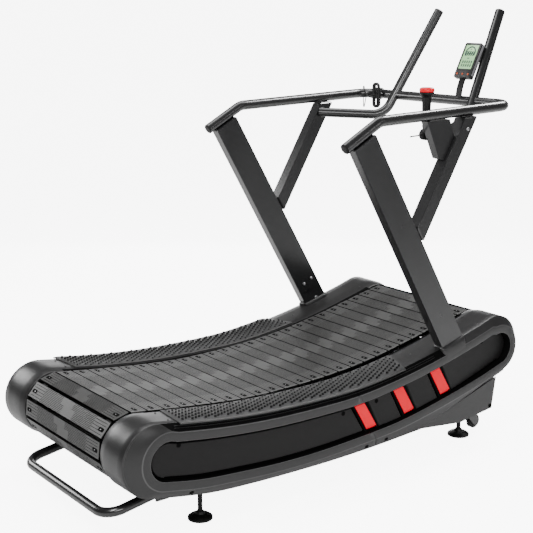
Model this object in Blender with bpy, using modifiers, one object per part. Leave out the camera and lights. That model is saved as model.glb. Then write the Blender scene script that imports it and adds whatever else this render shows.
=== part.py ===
"""Curved manual treadmill: a slat belt on a curved deck, a tubular handrail frame and a small console.

Axes: +X towards the console, +Y to the user's left, +Z up, z = 0 on the floor. Units are metres.
"""
import math

import bmesh
import bpy
from mathutils import Matrix, Vector

GAP = 0.0003                      # clearance left between pieces that touch

# Running deck, seen from the side: (x, z) stations of smooth lines, rear to front
DECK_LINE = ((-0.814, 0.400), (-0.600, 0.369), (-0.400, 0.351), (-0.200, 0.345), (0.000, 0.348),
             (0.200, 0.371), (0.400, 0.408), (0.600, 0.457), (0.6925, 0.4843))
BELT_LINE = ((-0.815, 0.396), (-0.600, 0.370), (-0.400, 0.351), (-0.250, 0.346), (0.000, 0.355),
             (0.200, 0.376), (0.400, 0.413), (0.600, 0.457), (0.703, 0.478))
RETURN_LINE = ((-0.845, 0.1665), (-0.600, 0.151), (-0.200, 0.150), (0.200, 0.176), (0.500, 0.217),
               (0.750, 0.270))
RIM_BOTTOM_LINE = ((-0.814, 0.1815), (-0.683, 0.157), (-0.526, 0.142), (-0.360, 0.131), (-0.184, 0.129),
                   (0.000, 0.1365), (0.196, 0.151), (0.402, 0.186), (0.618, 0.2335), (0.7496, 0.2706))
SILL_LINE = ((-0.860, 0.163), (-0.747, 0.140), (-0.612, 0.119), (-0.450, 0.1085), (-0.279, 0.103),
             (-0.098, 0.101), (0.100, 0.105), (0.323, 0.1155))
SILL_FRONT = (0.755, 0.2655)      # the sill runs straight from its last station up to here

REAR_CAP = (-0.834, 0.281)        # centres of the round covers over the two drums
FRONT_CAP = (0.717, 0.373)
REAR_DRUM = (-0.834, 0.281)
FRONT_DRUM = (0.724, 0.374)
REAR_RIM_CENTRE = (-0.796, 0.277)
FRONT_RIM_CENTRE = (0.724, 0.360)

# Widths from the centre plane
BELT_HALF = 0.258
DECK_INNER = 0.266
DECK_OUTER = 0.410
RIM_OUTER = 0.430
RECESS_FACE = 0.418
BEVEL_DROP = 0.026
RIM_WIDTH = 0.031
SHELL = 0.003
DECK_SHELL = 0.004

# Slat belt, drive belts and drums
SLAT_THICK = 0.012
DRIVE_THICK = 0.008
DRIVE_INNER, DRIVE_OUTER = 0.205, 0.235
DRUM_ARC_STEPS = 12
JOURNAL_R = 0.0125
BEARING_R = 0.026
BEARING_INNER, BEARING_OUTER = 0.298, 0.314
PLATE_INNER, PLATE_OUTER = 0.302, 0.310
ROLLER_R = 0.018
ROLLER_STATIONS = (-0.45, -0.02, 0.36)

# Handrail frame
TUBE_R = 0.019
RAIL_Y = 0.400
RAIL_REAR = (-0.0644, 1.1906)
RAIL_BEND = (0.089, 1.273)
CROSSBAR = (0.757, 1.2944)
UPRIGHT_THICK = 0.038
STRUT_WIDTH = 0.050
HORN_START = (0.484, 0.3748, 1.2270)
HORN_CORNER = (0.702, 0.2270, 1.2150)
HORN_TOP = (0.940, 0.1648, 1.6330)

# Feet and wheels
FOOT_Y = 0.330
FOOT_REAR_X, FOOT_FRONT_X = -0.617, 0.616
WHEEL_X, WHEEL_Z, WHEEL_R = 0.698, 0.041, 0.029


def clear_scene():
    for old in list(bpy.data.objects):
        bpy.data.objects.remove(old, do_unlink=True)


def new_collection(name):
    group = bpy.data.collections.new(name)
    bpy.context.scene.collection.children.link(group)
    return group


def finish(name, colour, roughness, metallic=0.0):
    material = bpy.data.materials.new(name)
    material.use_nodes = True
    shader = material.node_tree.nodes["Principled BSDF"]
    shader.inputs["Base Color"].default_value = (*colour, 1.0)
    shader.inputs["Roughness"].default_value = roughness
    shader.inputs["Metallic"].default_value = metallic
    return material


# --- Outlines in the XZ plane -------------------------------------------------

def smooth_line(stations, count):
    """Points at even steps of x on a cubic through the stations (Catmull-Rom slopes)."""
    slopes = []
    last = len(stations) - 1
    for i in range(last + 1):
        before, after = stations[max(i - 1, 0)], stations[min(i + 1, last)]
        slopes.append((after[1] - before[1]) / (after[0] - before[0]))
    points = []
    for k in range(count):
        x = stations[0][0] + (stations[-1][0] - stations[0][0]) * k / (count - 1)
        i = max(j for j in range(last) if stations[j][0] <= x + 1e-9)
        (x0, z0), (x1, z1) = stations[i], stations[i + 1]
        width = x1 - x0
        t = (x - x0) / width
        z = (z0 * (2 * t ** 3 - 3 * t ** 2 + 1) + slopes[i] * width * (t ** 3 - 2 * t ** 2 + t)
             + z1 * (3 * t ** 2 - 2 * t ** 3) + slopes[i + 1] * width * (t ** 3 - t ** 2))
        points.append((x, z))
    return points


def height(line, x):
    """Height of a sampled line at x."""
    for (x0, z0), (x1, z1) in zip(line, line[1:]):
        if x <= x1:
            return z0 + (z1 - z0) * (x - x0) / (x1 - x0)
    return line[-1][1]


def arc(centre, start, end, steps):
    """Points strictly between start and end, clockwise seen with +X right and +Z up."""
    a0 = math.atan2(start[1] - centre[1], start[0] - centre[0])
    a1 = math.atan2(end[1] - centre[1], end[0] - centre[0])
    r0, r1 = math.dist(centre, start), math.dist(centre, end)
    turn = (a0 - a1) % (2 * math.pi)
    points = []
    for k in range(1, steps):
        angle, radius = a0 - turn * k / steps, r0 + (r1 - r0) * k / steps
        points.append((centre[0] + radius * math.cos(angle), centre[1] + radius * math.sin(angle)))
    return points


def band(top, bottom, rear_centre, front_centre, steps):
    """Closed clockwise loop: top line to the front, front arc, bottom line back, rear arc."""
    back = bottom[::-1]
    return top + arc(front_centre, top[-1], back[0], steps) + back + arc(rear_centre, back[-1], top[0], steps)


def inset(loop, distance):
    """The closed clockwise loop moved inwards by a distance, keeping its point count."""
    points = []
    for i, point in enumerate(loop):
        before, after = Vector(loop[i - 1]), Vector(loop[(i + 1) % len(loop)])
        here = Vector(point)
        a, b = (here - before).normalized(), (after - here).normalized()
        inward_a, inward_b = Vector((a.y, -a.x)), Vector((b.y, -b.x))
        mitre = (inward_a + inward_b).normalized()
        points.append(tuple(here + mitre * distance / max(mitre.dot(inward_a), 0.3)))
    return points


def rounded_path(corners, radii, steps=6):
    """3D polyline with its inner corners replaced by arcs of the given radii."""
    corners = [Vector(c) for c in corners]
    path = [corners[0]]
    for before, here, after, radius in zip(corners, corners[1:], corners[2:], radii):
        a, b = (before - here).normalized(), (after - here).normalized()
        half = a.angle(b) / 2
        reach = radius / math.tan(half)
        centre = here + (a + b).normalized() * radius / math.sin(half)
        start, end = here + a * reach - centre, here + b * reach - centre
        sweep = start.angle(end)
        for k in range(steps + 1):
            t = k / steps
            spoke = start * math.sin((1 - t) * sweep) + end * math.sin(t * sweep)
            path.append(centre + spoke / math.sin(sweep))
    path.append(corners[-1])
    return path


# --- Solids -------------------------------------------------------------------

def place(obj, material, group):
    if material is not None:
        obj.data.materials.append(material)
    group.objects.link(obj)
    return obj


def mesh_object(name, build, material, group, location=(0, 0, 0)):
    """Object whose mesh is made by build(bm)."""
    bm = bmesh.new()
    build(bm)
    mesh = bpy.data.meshes.new(name)
    bm.to_mesh(mesh)
    bm.free()
    obj = bpy.data.objects.new(name, mesh)
    obj.location = location
    return place(obj, material, group)


def box(name, low, high, material, group):
    size = Vector(high) - Vector(low)
    centre = (Vector(high) + Vector(low)) / 2

    def build(bm):
        bmesh.ops.create_cube(bm, size=1.0, matrix=Matrix.Diagonal((*size, 1.0)))
    return mesh_object(name, build, material, group, centre)


def rod(name, start, end, radius, sides, material, group, end_radius=None):
    start, end = Vector(start), Vector(end)
    turn = (end - start).to_track_quat("Z", "Y").to_matrix().to_4x4()

    def build(bm):
        bmesh.ops.create_cone(bm, cap_ends=True, segments=sides, radius1=radius,
                              radius2=radius if end_radius is None else end_radius,
                              depth=(end - start).length, matrix=turn)
    return mesh_object(name, build, material, group, (start + end) / 2)


def turned(name, profile, steps, material, group, location, across=False, closed=False):
    """Solid of revolution of (radius, height) points; across lays its axis along Y."""
    mesh = bpy.data.meshes.new(name)
    bm = bmesh.new()
    verts = [bm.verts.new((radius, 0.0, z)) for radius, z in profile]
    for a, b in zip(verts, verts[1:] + verts[:1] if closed else verts[1:]):
        bm.edges.new((a, b))
    bm.to_mesh(mesh)
    bm.free()
    obj = bpy.data.objects.new(name, mesh)
    obj.location = location
    if across:
        obj.rotation_euler = (-math.pi / 2, 0.0, 0.0)
    place(obj, material, group)
    screw = obj.modifiers.new("turn", "SCREW")
    screw.steps = steps
    screw.render_steps = steps
    screw.use_merge_vertices = True
    screw.merge_threshold = 0.00001
    screw.use_smooth_shade = True
    return obj


def as_mesh(obj, group):
    """Swap a curve, or an object with modifiers, for a plain mesh in world space."""
    bpy.context.view_layer.update()
    mesh = bpy.data.meshes.new_from_object(obj.evaluated_get(bpy.context.evaluated_depsgraph_get()))
    mesh.transform(obj.matrix_world)
    bm = bmesh.new()
    bm.from_mesh(mesh)
    bmesh.ops.remove_doubles(bm, verts=bm.verts, dist=0.00001)
    bm.to_mesh(mesh)
    bm.free()
    name = obj.name
    bpy.data.objects.remove(obj, do_unlink=True)
    solid = bpy.data.objects.new(name, mesh)
    group.objects.link(solid)
    return solid


def flat_outline(name, loops, y_low, y_high, material, group):
    """Plate with the given closed outlines (the later ones are holes) between two heights of y."""
    curve = bpy.data.curves.new(name, "CURVE")
    curve.dimensions = "2D"
    curve.fill_mode = "BOTH"
    curve.extrude = (y_high - y_low) / 2
    for loop in loops:
        spline = curve.splines.new("POLY")
        spline.points.add(len(loop) - 1)
        for point, (x, z) in zip(spline.points, loop):
            point.co = (x, z, 0.0, 1.0)
        spline.use_cyclic_u = True
    obj = bpy.data.objects.new(name, curve)
    obj.rotation_euler = (math.pi / 2, 0.0, 0.0)
    obj.location = (0.0, (y_low + y_high) / 2, 0.0)
    return as_mesh(place(obj, material, group), group)


def tube(name, path, radius, material, group, resolution=2):
    curve = bpy.data.curves.new(name, "CURVE")
    curve.dimensions = "3D"
    curve.bevel_depth = radius
    curve.bevel_resolution = resolution
    curve.use_fill_caps = True
    spline = curve.splines.new("POLY")
    spline.points.add(len(path) - 1)
    for point, co in zip(spline.points, path):
        point.co = (*co, 1.0)
    return place(bpy.data.objects.new(name, curve), material, group)


def boolean(obj, other, operation):
    change = obj.modifiers.new(operation.lower(), "BOOLEAN")
    change.operation = operation
    change.solver = "EXACT"
    change.object = other


def round_edges(obj, width, segments=2):
    bevel = obj.modifiers.new("edges", "BEVEL")
    bevel.width = width
    bevel.segments = segments
    bevel.limit_method = "ANGLE"


def as_cutter(obj):
    obj.hide_render = True
    obj.display_type = "WIRE"
    return obj


def right_twin(left, name, group):
    """Mirror image of a piece on the other side of the centre plane."""
    bpy.context.view_layer.update()
    mesh = bpy.data.meshes.new_from_object(left.evaluated_get(bpy.context.evaluated_depsgraph_get()))
    mesh.transform(Matrix.Scale(-1.0, 4, (0.0, 1.0, 0.0)) @ left.matrix_world)
    mesh.flip_normals()
    twin = bpy.data.objects.new(name, mesh)
    group.objects.link(twin)
    return twin


# --- Sub-assemblies -----------------------------------------------------------

def belt_loops():
    top, bottom = smooth_line(BELT_LINE, 17), smooth_line(RETURN_LINE, 9)
    outer = band(top, bottom, REAR_DRUM, FRONT_DRUM, DRUM_ARC_STEPS)
    drive_outer = inset(outer, SLAT_THICK + GAP)
    drive_inner = inset(outer, SLAT_THICK + GAP + DRIVE_THICK)
    return outer, inset(outer, SLAT_THICK), drive_outer, drive_inner


def pulley_radius(loop, centre):
    """Largest pulley that clears a belt's faceted inner loop at its drum."""
    nearest = []
    for a, b in zip(loop, loop[1:] + loop[:1]):
        a, b = Vector(a), Vector(b)
        along = (b - a).normalized()
        reach = min(max((Vector(centre) - a).dot(along), 0.0), (b - a).length)
        nearest.append((a + along * reach - Vector(centre)).length)
    return min(nearest) - GAP


def drum_profile(pulley_r, ends):
    """Half profile of a drum, top to bottom; ends are the heights of its two journals."""
    core, edge = 0.030, GAP * 2
    return [(0.0, ends[0]), (JOURNAL_R, ends[0]), (JOURNAL_R, DRIVE_OUTER + edge),
            (pulley_r, DRIVE_OUTER + edge), (pulley_r, DRIVE_INNER - edge), (core, DRIVE_INNER - edge),
            (core, -DRIVE_INNER + edge), (pulley_r, -DRIVE_INNER + edge), (pulley_r, -DRIVE_OUTER - edge),
            (JOURNAL_R, -DRIVE_OUTER - edge), (JOURNAL_R, ends[1]), (0.0, ends[1])]


def make_running_gear(parts, rubber, steel, black):
    outer, slat_inner, drive_outer, drive_inner = belt_loops()
    flat_outline("slat_belt", (outer, slat_inner), -BELT_HALF, BELT_HALF, rubber, parts)
    left = flat_outline("drive_belt_left", (drive_outer, drive_inner), DRIVE_INNER, DRIVE_OUTER, black, parts)
    right_twin(left, "drive_belt_right", parts)

    journal = BEARING_OUTER + 0.002
    rear = drum_profile(pulley_radius(drive_inner, REAR_DRUM), (journal, -journal))
    turned("rear_drum", rear, 20, steel, parts, (REAR_DRUM[0], 0.0, REAR_DRUM[1]), across=True)
    front = drum_profile(pulley_radius(drive_inner, FRONT_DRUM), (journal, -0.322))[:-1]
    front += [(0.050, -0.322), (0.050, -0.338), (0.0, -0.338)]
    turned("front_drum", front, 20, steel, parts, (FRONT_DRUM[0], 0.0, FRONT_DRUM[1]), across=True)

    ring = [(JOURNAL_R + GAP, 0.008), (BEARING_R, 0.008), (BEARING_R, -0.008), (JOURNAL_R + GAP, -0.008)]
    middle = (BEARING_INNER + BEARING_OUTER) / 2
    for end, centre in (("front", FRONT_DRUM), ("rear", REAR_DRUM)):
        for side, y in (("left", middle), ("right", -middle)):
            turned(f"{end}_bearing_{side}", ring, 20, steel, parts, (centre[0], y, centre[1]), True, True)

    reach = PLATE_INNER - GAP
    roller = [(0.0, reach), (0.006, reach), (0.006, DRIVE_OUTER), (ROLLER_R, DRIVE_OUTER),
              (ROLLER_R, DRIVE_INNER), (0.0, DRIVE_INNER)]
    other_roller = [(radius, -z) for radius, z in reversed(roller)]
    track = smooth_line(BELT_LINE, 17)
    for number, x in enumerate(ROLLER_STATIONS, start=1):
        slope = (height(track, x + 0.02) - height(track, x - 0.02)) / 0.04
        drop = (SLAT_THICK + DRIVE_THICK + 3 * GAP + ROLLER_R) * math.hypot(1.0, slope)
        where = (x, 0.0, height(track, x) - drop)
        turned(f"guide_roller_left_{number}", roller, 16, steel, parts, where, True)
        turned(f"guide_roller_right_{number}", other_roller, 16, steel, parts, where, True)


FLYWHEEL = (0.500, 0.235)
FLYWHEEL_R = 0.085


def make_resistance(parts, steel, black, iron):
    """Flywheel on the right of the frame, its belt from the front drum, and the magnet brake."""
    small, large, thick = 0.020, 0.050, 0.004
    profile = [(0.0, -PLATE_OUTER - GAP), (0.008, -PLATE_OUTER - GAP), (0.008, -0.322), (small, -0.322),
               (small, -0.338), (0.012, -0.338), (0.012, -0.342), (FLYWHEEL_R, -0.342), (FLYWHEEL_R, -0.360),
               (0.0, -0.360)]
    turned("flywheel", profile, 24, iron, parts, (FLYWHEEL[0], 0.0, FLYWHEEL[1]), across=True)

    start, end = Vector(FRONT_DRUM), Vector(FLYWHEEL)
    along = (end - start).normalized()
    lean = math.acos((large - small) / (end - start).length)
    base = math.atan2(along.y, along.x)

    def loop(extra):
        points = []
        for centre, radius, first, last in ((start, large, base + lean, base + 2 * math.pi - lean),
                                            (end, small, base - lean, base + lean)):
            for k in range(13):
                angle = first + (last - first) * k / 12
                reach = (radius + extra) / math.cos((last - first) / 24)
                points.append((centre.x + reach * math.cos(angle), centre.y + reach * math.sin(angle)))
        return points
    flat_outline("flywheel_belt", (loop(GAP + thick), loop(GAP)), -0.337, -0.323, black, parts)

    pivot = (0.385, 0.300)
    low, high = (pivot[0] - 0.012, -0.372, 0.226), (pivot[0] + 0.062, -0.330, 0.318)
    shoe = box("brake_magnet", low, high, steel, parts)
    return pivot, shoe


def make_frame(parts, cutters, paint, magnet_pivot, magnet):
    deck, bottom = smooth_line(DECK_LINE, 17), smooth_line(RIM_BOTTOM_LINE, 17)
    top = [(x, height(deck, x) - 0.030) for x in (-0.834, -0.6, -0.4, -0.2, 0.0, 0.2, 0.4, 0.6, 0.724)]
    low = [(-0.834, 0.231), (-0.6, 0.190), (-0.3, 0.180), (0.0, 0.190), (0.3, 0.225), (0.55, 0.275),
           (0.724, 0.324)]
    top[0], top[-1] = (REAR_DRUM[0], REAR_DRUM[1] + 0.050), (FRONT_DRUM[0], FRONT_DRUM[1] + 0.050)
    outline = band(top, low, REAR_DRUM, FRONT_DRUM, 8)
    left = flat_outline("base_frame", (outline,), PLATE_INNER, PLATE_OUTER, paint, parts)
    pieces = [right_twin(left, "frame_plate", cutters)]

    def add(name, low_corner, high_corner):
        pieces.append(box(name, low_corner, high_corner, None, cutters))

    inside = PLATE_INNER + 0.001
    for x, z in ((-0.62, 0.260), (-0.20, 0.250), (0.17, 0.275), (0.52, 0.328)):
        add("cross_tube", (x - 0.018, -inside, z - 0.018), (x + 0.018, inside, z + 0.018))
    add("rear_foot_tube", (FOOT_REAR_X - 0.020, -0.360, 0.106), (FOOT_REAR_X + 0.020, 0.360, 0.140))
    add("front_foot_tube", (FOOT_FRONT_X - 0.020, -0.398, 0.127), (FOOT_FRONT_X + 0.020, 0.398, 0.161))
    for side in (-1, 1):
        def add_side(name, x, y, z):
            ys = sorted((side * y[0], side * y[1]))
            add(name, (x[0], ys[0], z[0]), (x[1], ys[1], z[1]))
        add_side("rear_web", (-0.635, -0.600), (PLATE_INNER, PLATE_OUTER), (0.135, 0.215))
        add_side("front_web", (0.600, 0.632), (PLATE_INNER, PLATE_OUTER), (0.155, 0.320))
        add_side("upright_shelf", (0.430, 0.552), (PLATE_OUTER - 0.004, 0.408), (0.374, 0.3945))
        add_side("shelf_web", (0.430, 0.552), (PLATE_INNER, PLATE_OUTER), (0.350, 0.3945))
        for x in (-0.50, -0.05, 0.25):
            z = height(deck, x)
            add_side("cover_bracket", (x - 0.020, x + 0.020), (PLATE_OUTER - 0.004, 0.407),
                     (z - 0.040, z - 0.012))
        fork = [(0.600, 0.132), (0.634, 0.158), (0.712, 0.052)]
        fork += arc((WHEEL_X, WHEEL_Z), (0.712, 0.052), (0.686, 0.031), 6) + [(0.686, 0.031)]
        for inner in (0.3120, 0.3430):
            ys = sorted((side * inner, side * (inner + 0.005)))
            pieces.append(flat_outline("wheel_fork", (fork,), ys[0], ys[1], None, cutters))
        pieces.append(rod("wheel_pin", (WHEEL_X, side * 0.3125, WHEEL_Z),
                          (WHEEL_X, side * 0.3475, WHEEL_Z), 0.006,
                          16, None, cutters))
    pivot_x, pivot_z = magnet_pivot
    pieces.append(rod("brake_pin", (pivot_x, -0.372, pivot_z), (pivot_x, -0.306, pivot_z), 0.006, 12,
                      None, cutters))
    for piece in pieces:
        boolean(left, as_cutter(piece), "UNION")
    for x, z in (REAR_DRUM, FRONT_DRUM):
        bore = rod("bearing_bore", (x, -0.330, z), (x, 0.330, z), BEARING_R + GAP, 20, None, cutters)
        boolean(left, as_cutter(bore), "DIFFERENCE")
    for x in (FOOT_REAR_X, FOOT_FRONT_X):
        for y in (-FOOT_Y, FOOT_Y):
            thread = rod("thread_bore", (x, y, 0.090), (x, y, 0.180), STEM_R + GAP, 16, None, cutters)
            boolean(left, as_cutter(thread), "DIFFERENCE")

    slot_x = (FLYWHEEL[0] - FLYWHEEL_R - 0.010, FLYWHEEL[0])
    slot = box("disc_slot", (slot_x[0], -0.363, 0.20), (slot_x[1], -0.339, 0.34), None, cutters)
    boolean(magnet, as_cutter(slot), "DIFFERENCE")
    eye = rod("magnet_eye", (pivot_x, -0.380, pivot_z), (pivot_x, -0.320, pivot_z), 0.0065, 12, None, cutters)
    boolean(magnet, as_cutter(eye), "DIFFERENCE")


STEM_R = 0.0083


def make_feet(parts, black, rubber):
    pad = [(0.0, 0.175), (STEM_R, 0.175), (STEM_R, 0.030), (0.013, 0.026), (0.017, 0.018), (0.034, 0.013),
           (0.0425, 0.007), (0.0425, 0.0), (0.0, 0.0)]
    for end, x in (("rear", FOOT_REAR_X), ("front", FOOT_FRONT_X)):
        for side, y in (("left", FOOT_Y), ("right", -FOOT_Y)):
            turned(f"{end}_foot_{side}", pad, 16, black, parts, (x, y, 0.0))
    tyre = [(0.0063, 0.011), (0.026, 0.011), (WHEEL_R, 0.008), (WHEEL_R, -0.008), (0.026, -0.011),
            (0.0063, -0.011)]
    for side, y in (("left", FOOT_Y), ("right", -FOOT_Y)):
        turned(f"wheel_{side}", tyre, 20, rubber, parts, (WHEEL_X, y, WHEEL_Z), True, True)


# --- Covers -------------------------------------------------------------------

TOP_COUNT = 17
STRAIGHT_COUNT = 5
END_STEPS = 9


def outer_loop():
    """Edge between the deck cover and the bevel of the side cover."""
    sill = smooth_line(SILL_LINE, TOP_COUNT - STRAIGHT_COUNT)
    straight = []
    for k in range(1, STRAIGHT_COUNT + 1):
        t = k / STRAIGHT_COUNT
        straight.append((sill[-1][0] + (SILL_FRONT[0] - sill[-1][0]) * t,
                         sill[-1][1] + (SILL_FRONT[1] - sill[-1][1]) * t))
    return band(smooth_line(DECK_LINE, TOP_COUNT), sill + straight, REAR_CAP, FRONT_CAP, END_STEPS)


def rim_loop():
    deck = smooth_line(DECK_LINE, TOP_COUNT)
    x0, x1 = -0.779, 0.703
    top = []
    for k in range(TOP_COUNT):
        x = x0 + (x1 - x0) * k / (TOP_COUNT - 1)
        top.append((x, height(deck, min(x, DECK_LINE[-1][0])) - BEVEL_DROP))
    top[-1] = (x1, 0.4506)
    top[0] = (x0, 0.3725)
    return band(top, smooth_line(RIM_BOTTOM_LINE, TOP_COUNT), REAR_RIM_CENTRE, FRONT_RIM_CENTRE, END_STEPS)


def side_shell(bm):
    """Open surface of one whole side cover, from the deck edge to the recessed panel."""
    outer, rim = outer_loop(), rim_loop()
    recess = inset(rim, RIM_WIDTH)
    floor = inset(rim, RIM_WIDTH + 0.002)
    start_x, end_x = SILL_LINE[-1][0], SILL_FRONT[0]

    def edge_y(i, x):
        """The bevel narrows to nothing along the straight part of the sill."""
        if TOP_COUNT + END_STEPS - 1 <= i < 2 * TOP_COUNT + END_STEPS - 1 and x > start_x:
            return DECK_OUTER + GAP + 0.017 * (x - start_x) / (end_x - start_x)
        return DECK_OUTER + GAP
    ys = [edge_y(i, x) for i, (x, z) in enumerate(outer)]
    rings = [[(x, y, z) for (x, z), y in zip(inset(outer, 0.006), ys)],
             [(x, y, z) for (x, z), y in zip(outer, ys)],
             [(x, RIM_OUTER, z) for x, z in rim],
             [(x, RIM_OUTER, z) for x, z in recess],
             [(x, RECESS_FACE, z) for x, z in floor]]
    rows = [[bm.verts.new(co) for co in ring] for ring in rings]
    count = len(rows[0])
    for row, following in zip(rows, rows[1:]):
        for i in range(count):
            j = (i + 1) % count
            bm.faces.new((row[i], row[j], following[j], following[i]))
    inner = rows[-1]
    top, front = inner[:TOP_COUNT], inner[TOP_COUNT - 1:TOP_COUNT + END_STEPS]
    low = inner[TOP_COUNT + END_STEPS - 1:2 * TOP_COUNT + END_STEPS - 1][::-1]
    rear = inner[2 * TOP_COUNT + END_STEPS - 2:] + [inner[0]]
    for a, b, c, d in zip(top, top[1:], low[1:], low):
        bm.faces.new((a, b, c, d))
    bm.faces.new(front)
    bm.faces.new(rear)


SEAM = ((0.003, 0.310), (0.069, 0.156))
ACCENT_X = (-0.018, 0.169, 0.355)
ACCENT_WIDTH, ACCENT_LEAN = 0.045, 0.060


def accent_outline(x, grow, rise):
    """Leaning bar between the two edges of the recess; grow widens it, rise lengthens it."""
    recess = inset(rim_loop(), RIM_WIDTH + 0.002)
    top = recess[:TOP_COUNT]
    low = recess[TOP_COUNT + END_STEPS - 1:2 * TOP_COUNT + END_STEPS - 1][::-1]
    corners = []
    for x_low, line, lift in ((x, top, rise - 0.004), (x + ACCENT_LEAN, low, 0.008 - rise)):
        pair = [(at, height(line, at) + lift) for at in (x_low - grow, x_low + ACCENT_WIDTH + grow)]
        corners.append(pair)
    return corners[0] + corners[1][::-1]


def make_covers(parts, cutters, plastic, red, upright_cutter):
    seam_low, seam_high = Vector((SEAM[1][0], 0.0, SEAM[1][1])), Vector((SEAM[0][0], 0.0, SEAM[0][1]))
    normal = Vector((0.0, 1.0, 0.0)).cross(seam_high - seam_low).normalized()
    slots = [flat_outline("accent_slot", (accent_outline(x, 0.007, 0.002),), 0.412, 0.422, None, cutters)
             for x in ACCENT_X]
    for name, keep_front in (("side_cover_rear", False), ("side_cover_front", True)):
        def build(bm, keep_front=keep_front):
            side_shell(bm)
            geometry = bm.verts[:] + bm.edges[:] + bm.faces[:]
            offset = normal * (0.0004 if keep_front else -0.0004)
            bmesh.ops.bisect_plane(bm, geom=geometry, plane_co=seam_low + offset, plane_no=normal,
                                   clear_inner=keep_front, clear_outer=not keep_front)
        cover = mesh_object(f"{name}_left", build, plastic, parts)
        shell = cover.modifiers.new("shell", "SOLIDIFY")
        shell.thickness = SHELL
        shell.offset = -1.0
        for slot in (slots if keep_front else slots[:1]):
            boolean(cover, as_cutter(slot), "DIFFERENCE")
        if keep_front:
            boolean(cover, upright_cutter, "DIFFERENCE")
        right_twin(cover, f"{name}_right", parts)

    spine = accent_outline(ACCENT_X[0], 0.012, 0.0)
    far = accent_outline(ACCENT_X[2], 0.012, 0.0)
    middle = accent_outline(ACCENT_X[1], 0.012, 0.0)
    backing = spine[:2] + middle[:2] + far[:2] + far[2:] + middle[2:] + spine[2:]
    backing = [(x, z) for x, z in inset(backing, 0.004)]
    strip = flat_outline("accent_strip_left", (backing,), 0.4085, 0.4140, red, parts)
    for x in ACCENT_X:
        bar = flat_outline("accent_bar", (accent_outline(x, 0.0, 0.0),), 0.412, 0.4245, None, cutters)
        boolean(strip, as_cutter(bar), "UNION")
    right_twin(strip, "accent_strip_right", parts)


def make_deck_covers(parts, plastic, grip, upright_cutter):
    outer = outer_loop()
    sill_count = len(outer) - TOP_COUNT - 2 * (END_STEPS - 1)
    front_end = TOP_COUNT + END_STEPS
    wrap = outer[TOP_COUNT + END_STEPS + sill_count - 2:] + outer[:front_end]

    def build(bm):
        rows = [[bm.verts.new((x, y, z)) for x, z in wrap] for y in (DECK_INNER, DECK_OUTER)]
        for i in range(len(wrap) - 1):
            bm.faces.new((rows[0][i], rows[0][i + 1], rows[1][i + 1], rows[1][i]))
    cover = mesh_object("deck_cover_left", build, plastic, parts)
    shell = cover.modifiers.new("shell", "SOLIDIFY")
    shell.thickness = DECK_SHELL
    shell.offset = -1.0
    boolean(cover, upright_cutter, "DIFFERENCE")
    right_twin(cover, "deck_cover_right", parts)

    deck = smooth_line(DECK_LINE, TOP_COUNT)
    inner_y, outer_y = 0.300, 0.428

    def build_grip(bm):
        count = 16
        rows = []
        for y, x0, x1 in ((inner_y, -0.736, 0.269), (outer_y, -0.751, 0.219)):
            xs = [x0 + (x1 - x0) * k / (count - 1) for k in range(count)]
            rows.append([bm.verts.new((x, y, height(deck, x) + 0.0012)) for x in xs])
        for i in range(count - 1):
            bm.faces.new((rows[0][i], rows[0][i + 1], rows[1][i + 1], rows[1][i]))
    pad = mesh_object("foot_grip_left", build_grip, grip, parts)
    thick = pad.modifiers.new("shell", "SOLIDIFY")
    thick.thickness = 0.005
    thick.offset = 1.0
    right_twin(pad, "foot_grip_right", parts)


def make_skirts(parts, plastic):
    """Plates under the front of the side covers; they follow the narrowing bevel."""
    drop = 0.0015
    top_rear, top_front = (0.326, SILL_LINE[-1][1] - drop), (0.709, 0.2494 - drop)
    outline = [top_rear, top_front, (0.692, 0.124), (0.527, 0.097)]
    plate = flat_outline("front_skirt_left", (outline,), 0.402, 0.405, plastic, parts)
    shear = Matrix.Identity(4)
    shear[1][0] = 0.025 / (top_front[0] - top_rear[0])
    plate.data.transform(Matrix.Translation((top_rear[0], 0.0, 0.0)) @ shear
                         @ Matrix.Translation((-top_rear[0], 0.0, 0.0)))
    right_twin(plate, "front_skirt_right", parts)


# --- Handrail frame -----------------------------------------------------------

def upright_outline(grow=0.0):
    """Leaning rectangle from the frame shelf up to the underside of the bent rail."""
    front, rear, foot_z = 0.3126, 0.1893, 0.395
    lean_front, lean_rear = 0.5915, 0.5865
    top = [(-0.0361, 1.1838), (0.0560, 1.2331)]
    foot = [(front - lean_front * (foot_z - 0.8), foot_z), (rear - lean_rear * (foot_z - 0.8), foot_z)]
    loop = top + foot
    return inset(loop, -grow) if grow else loop


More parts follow.
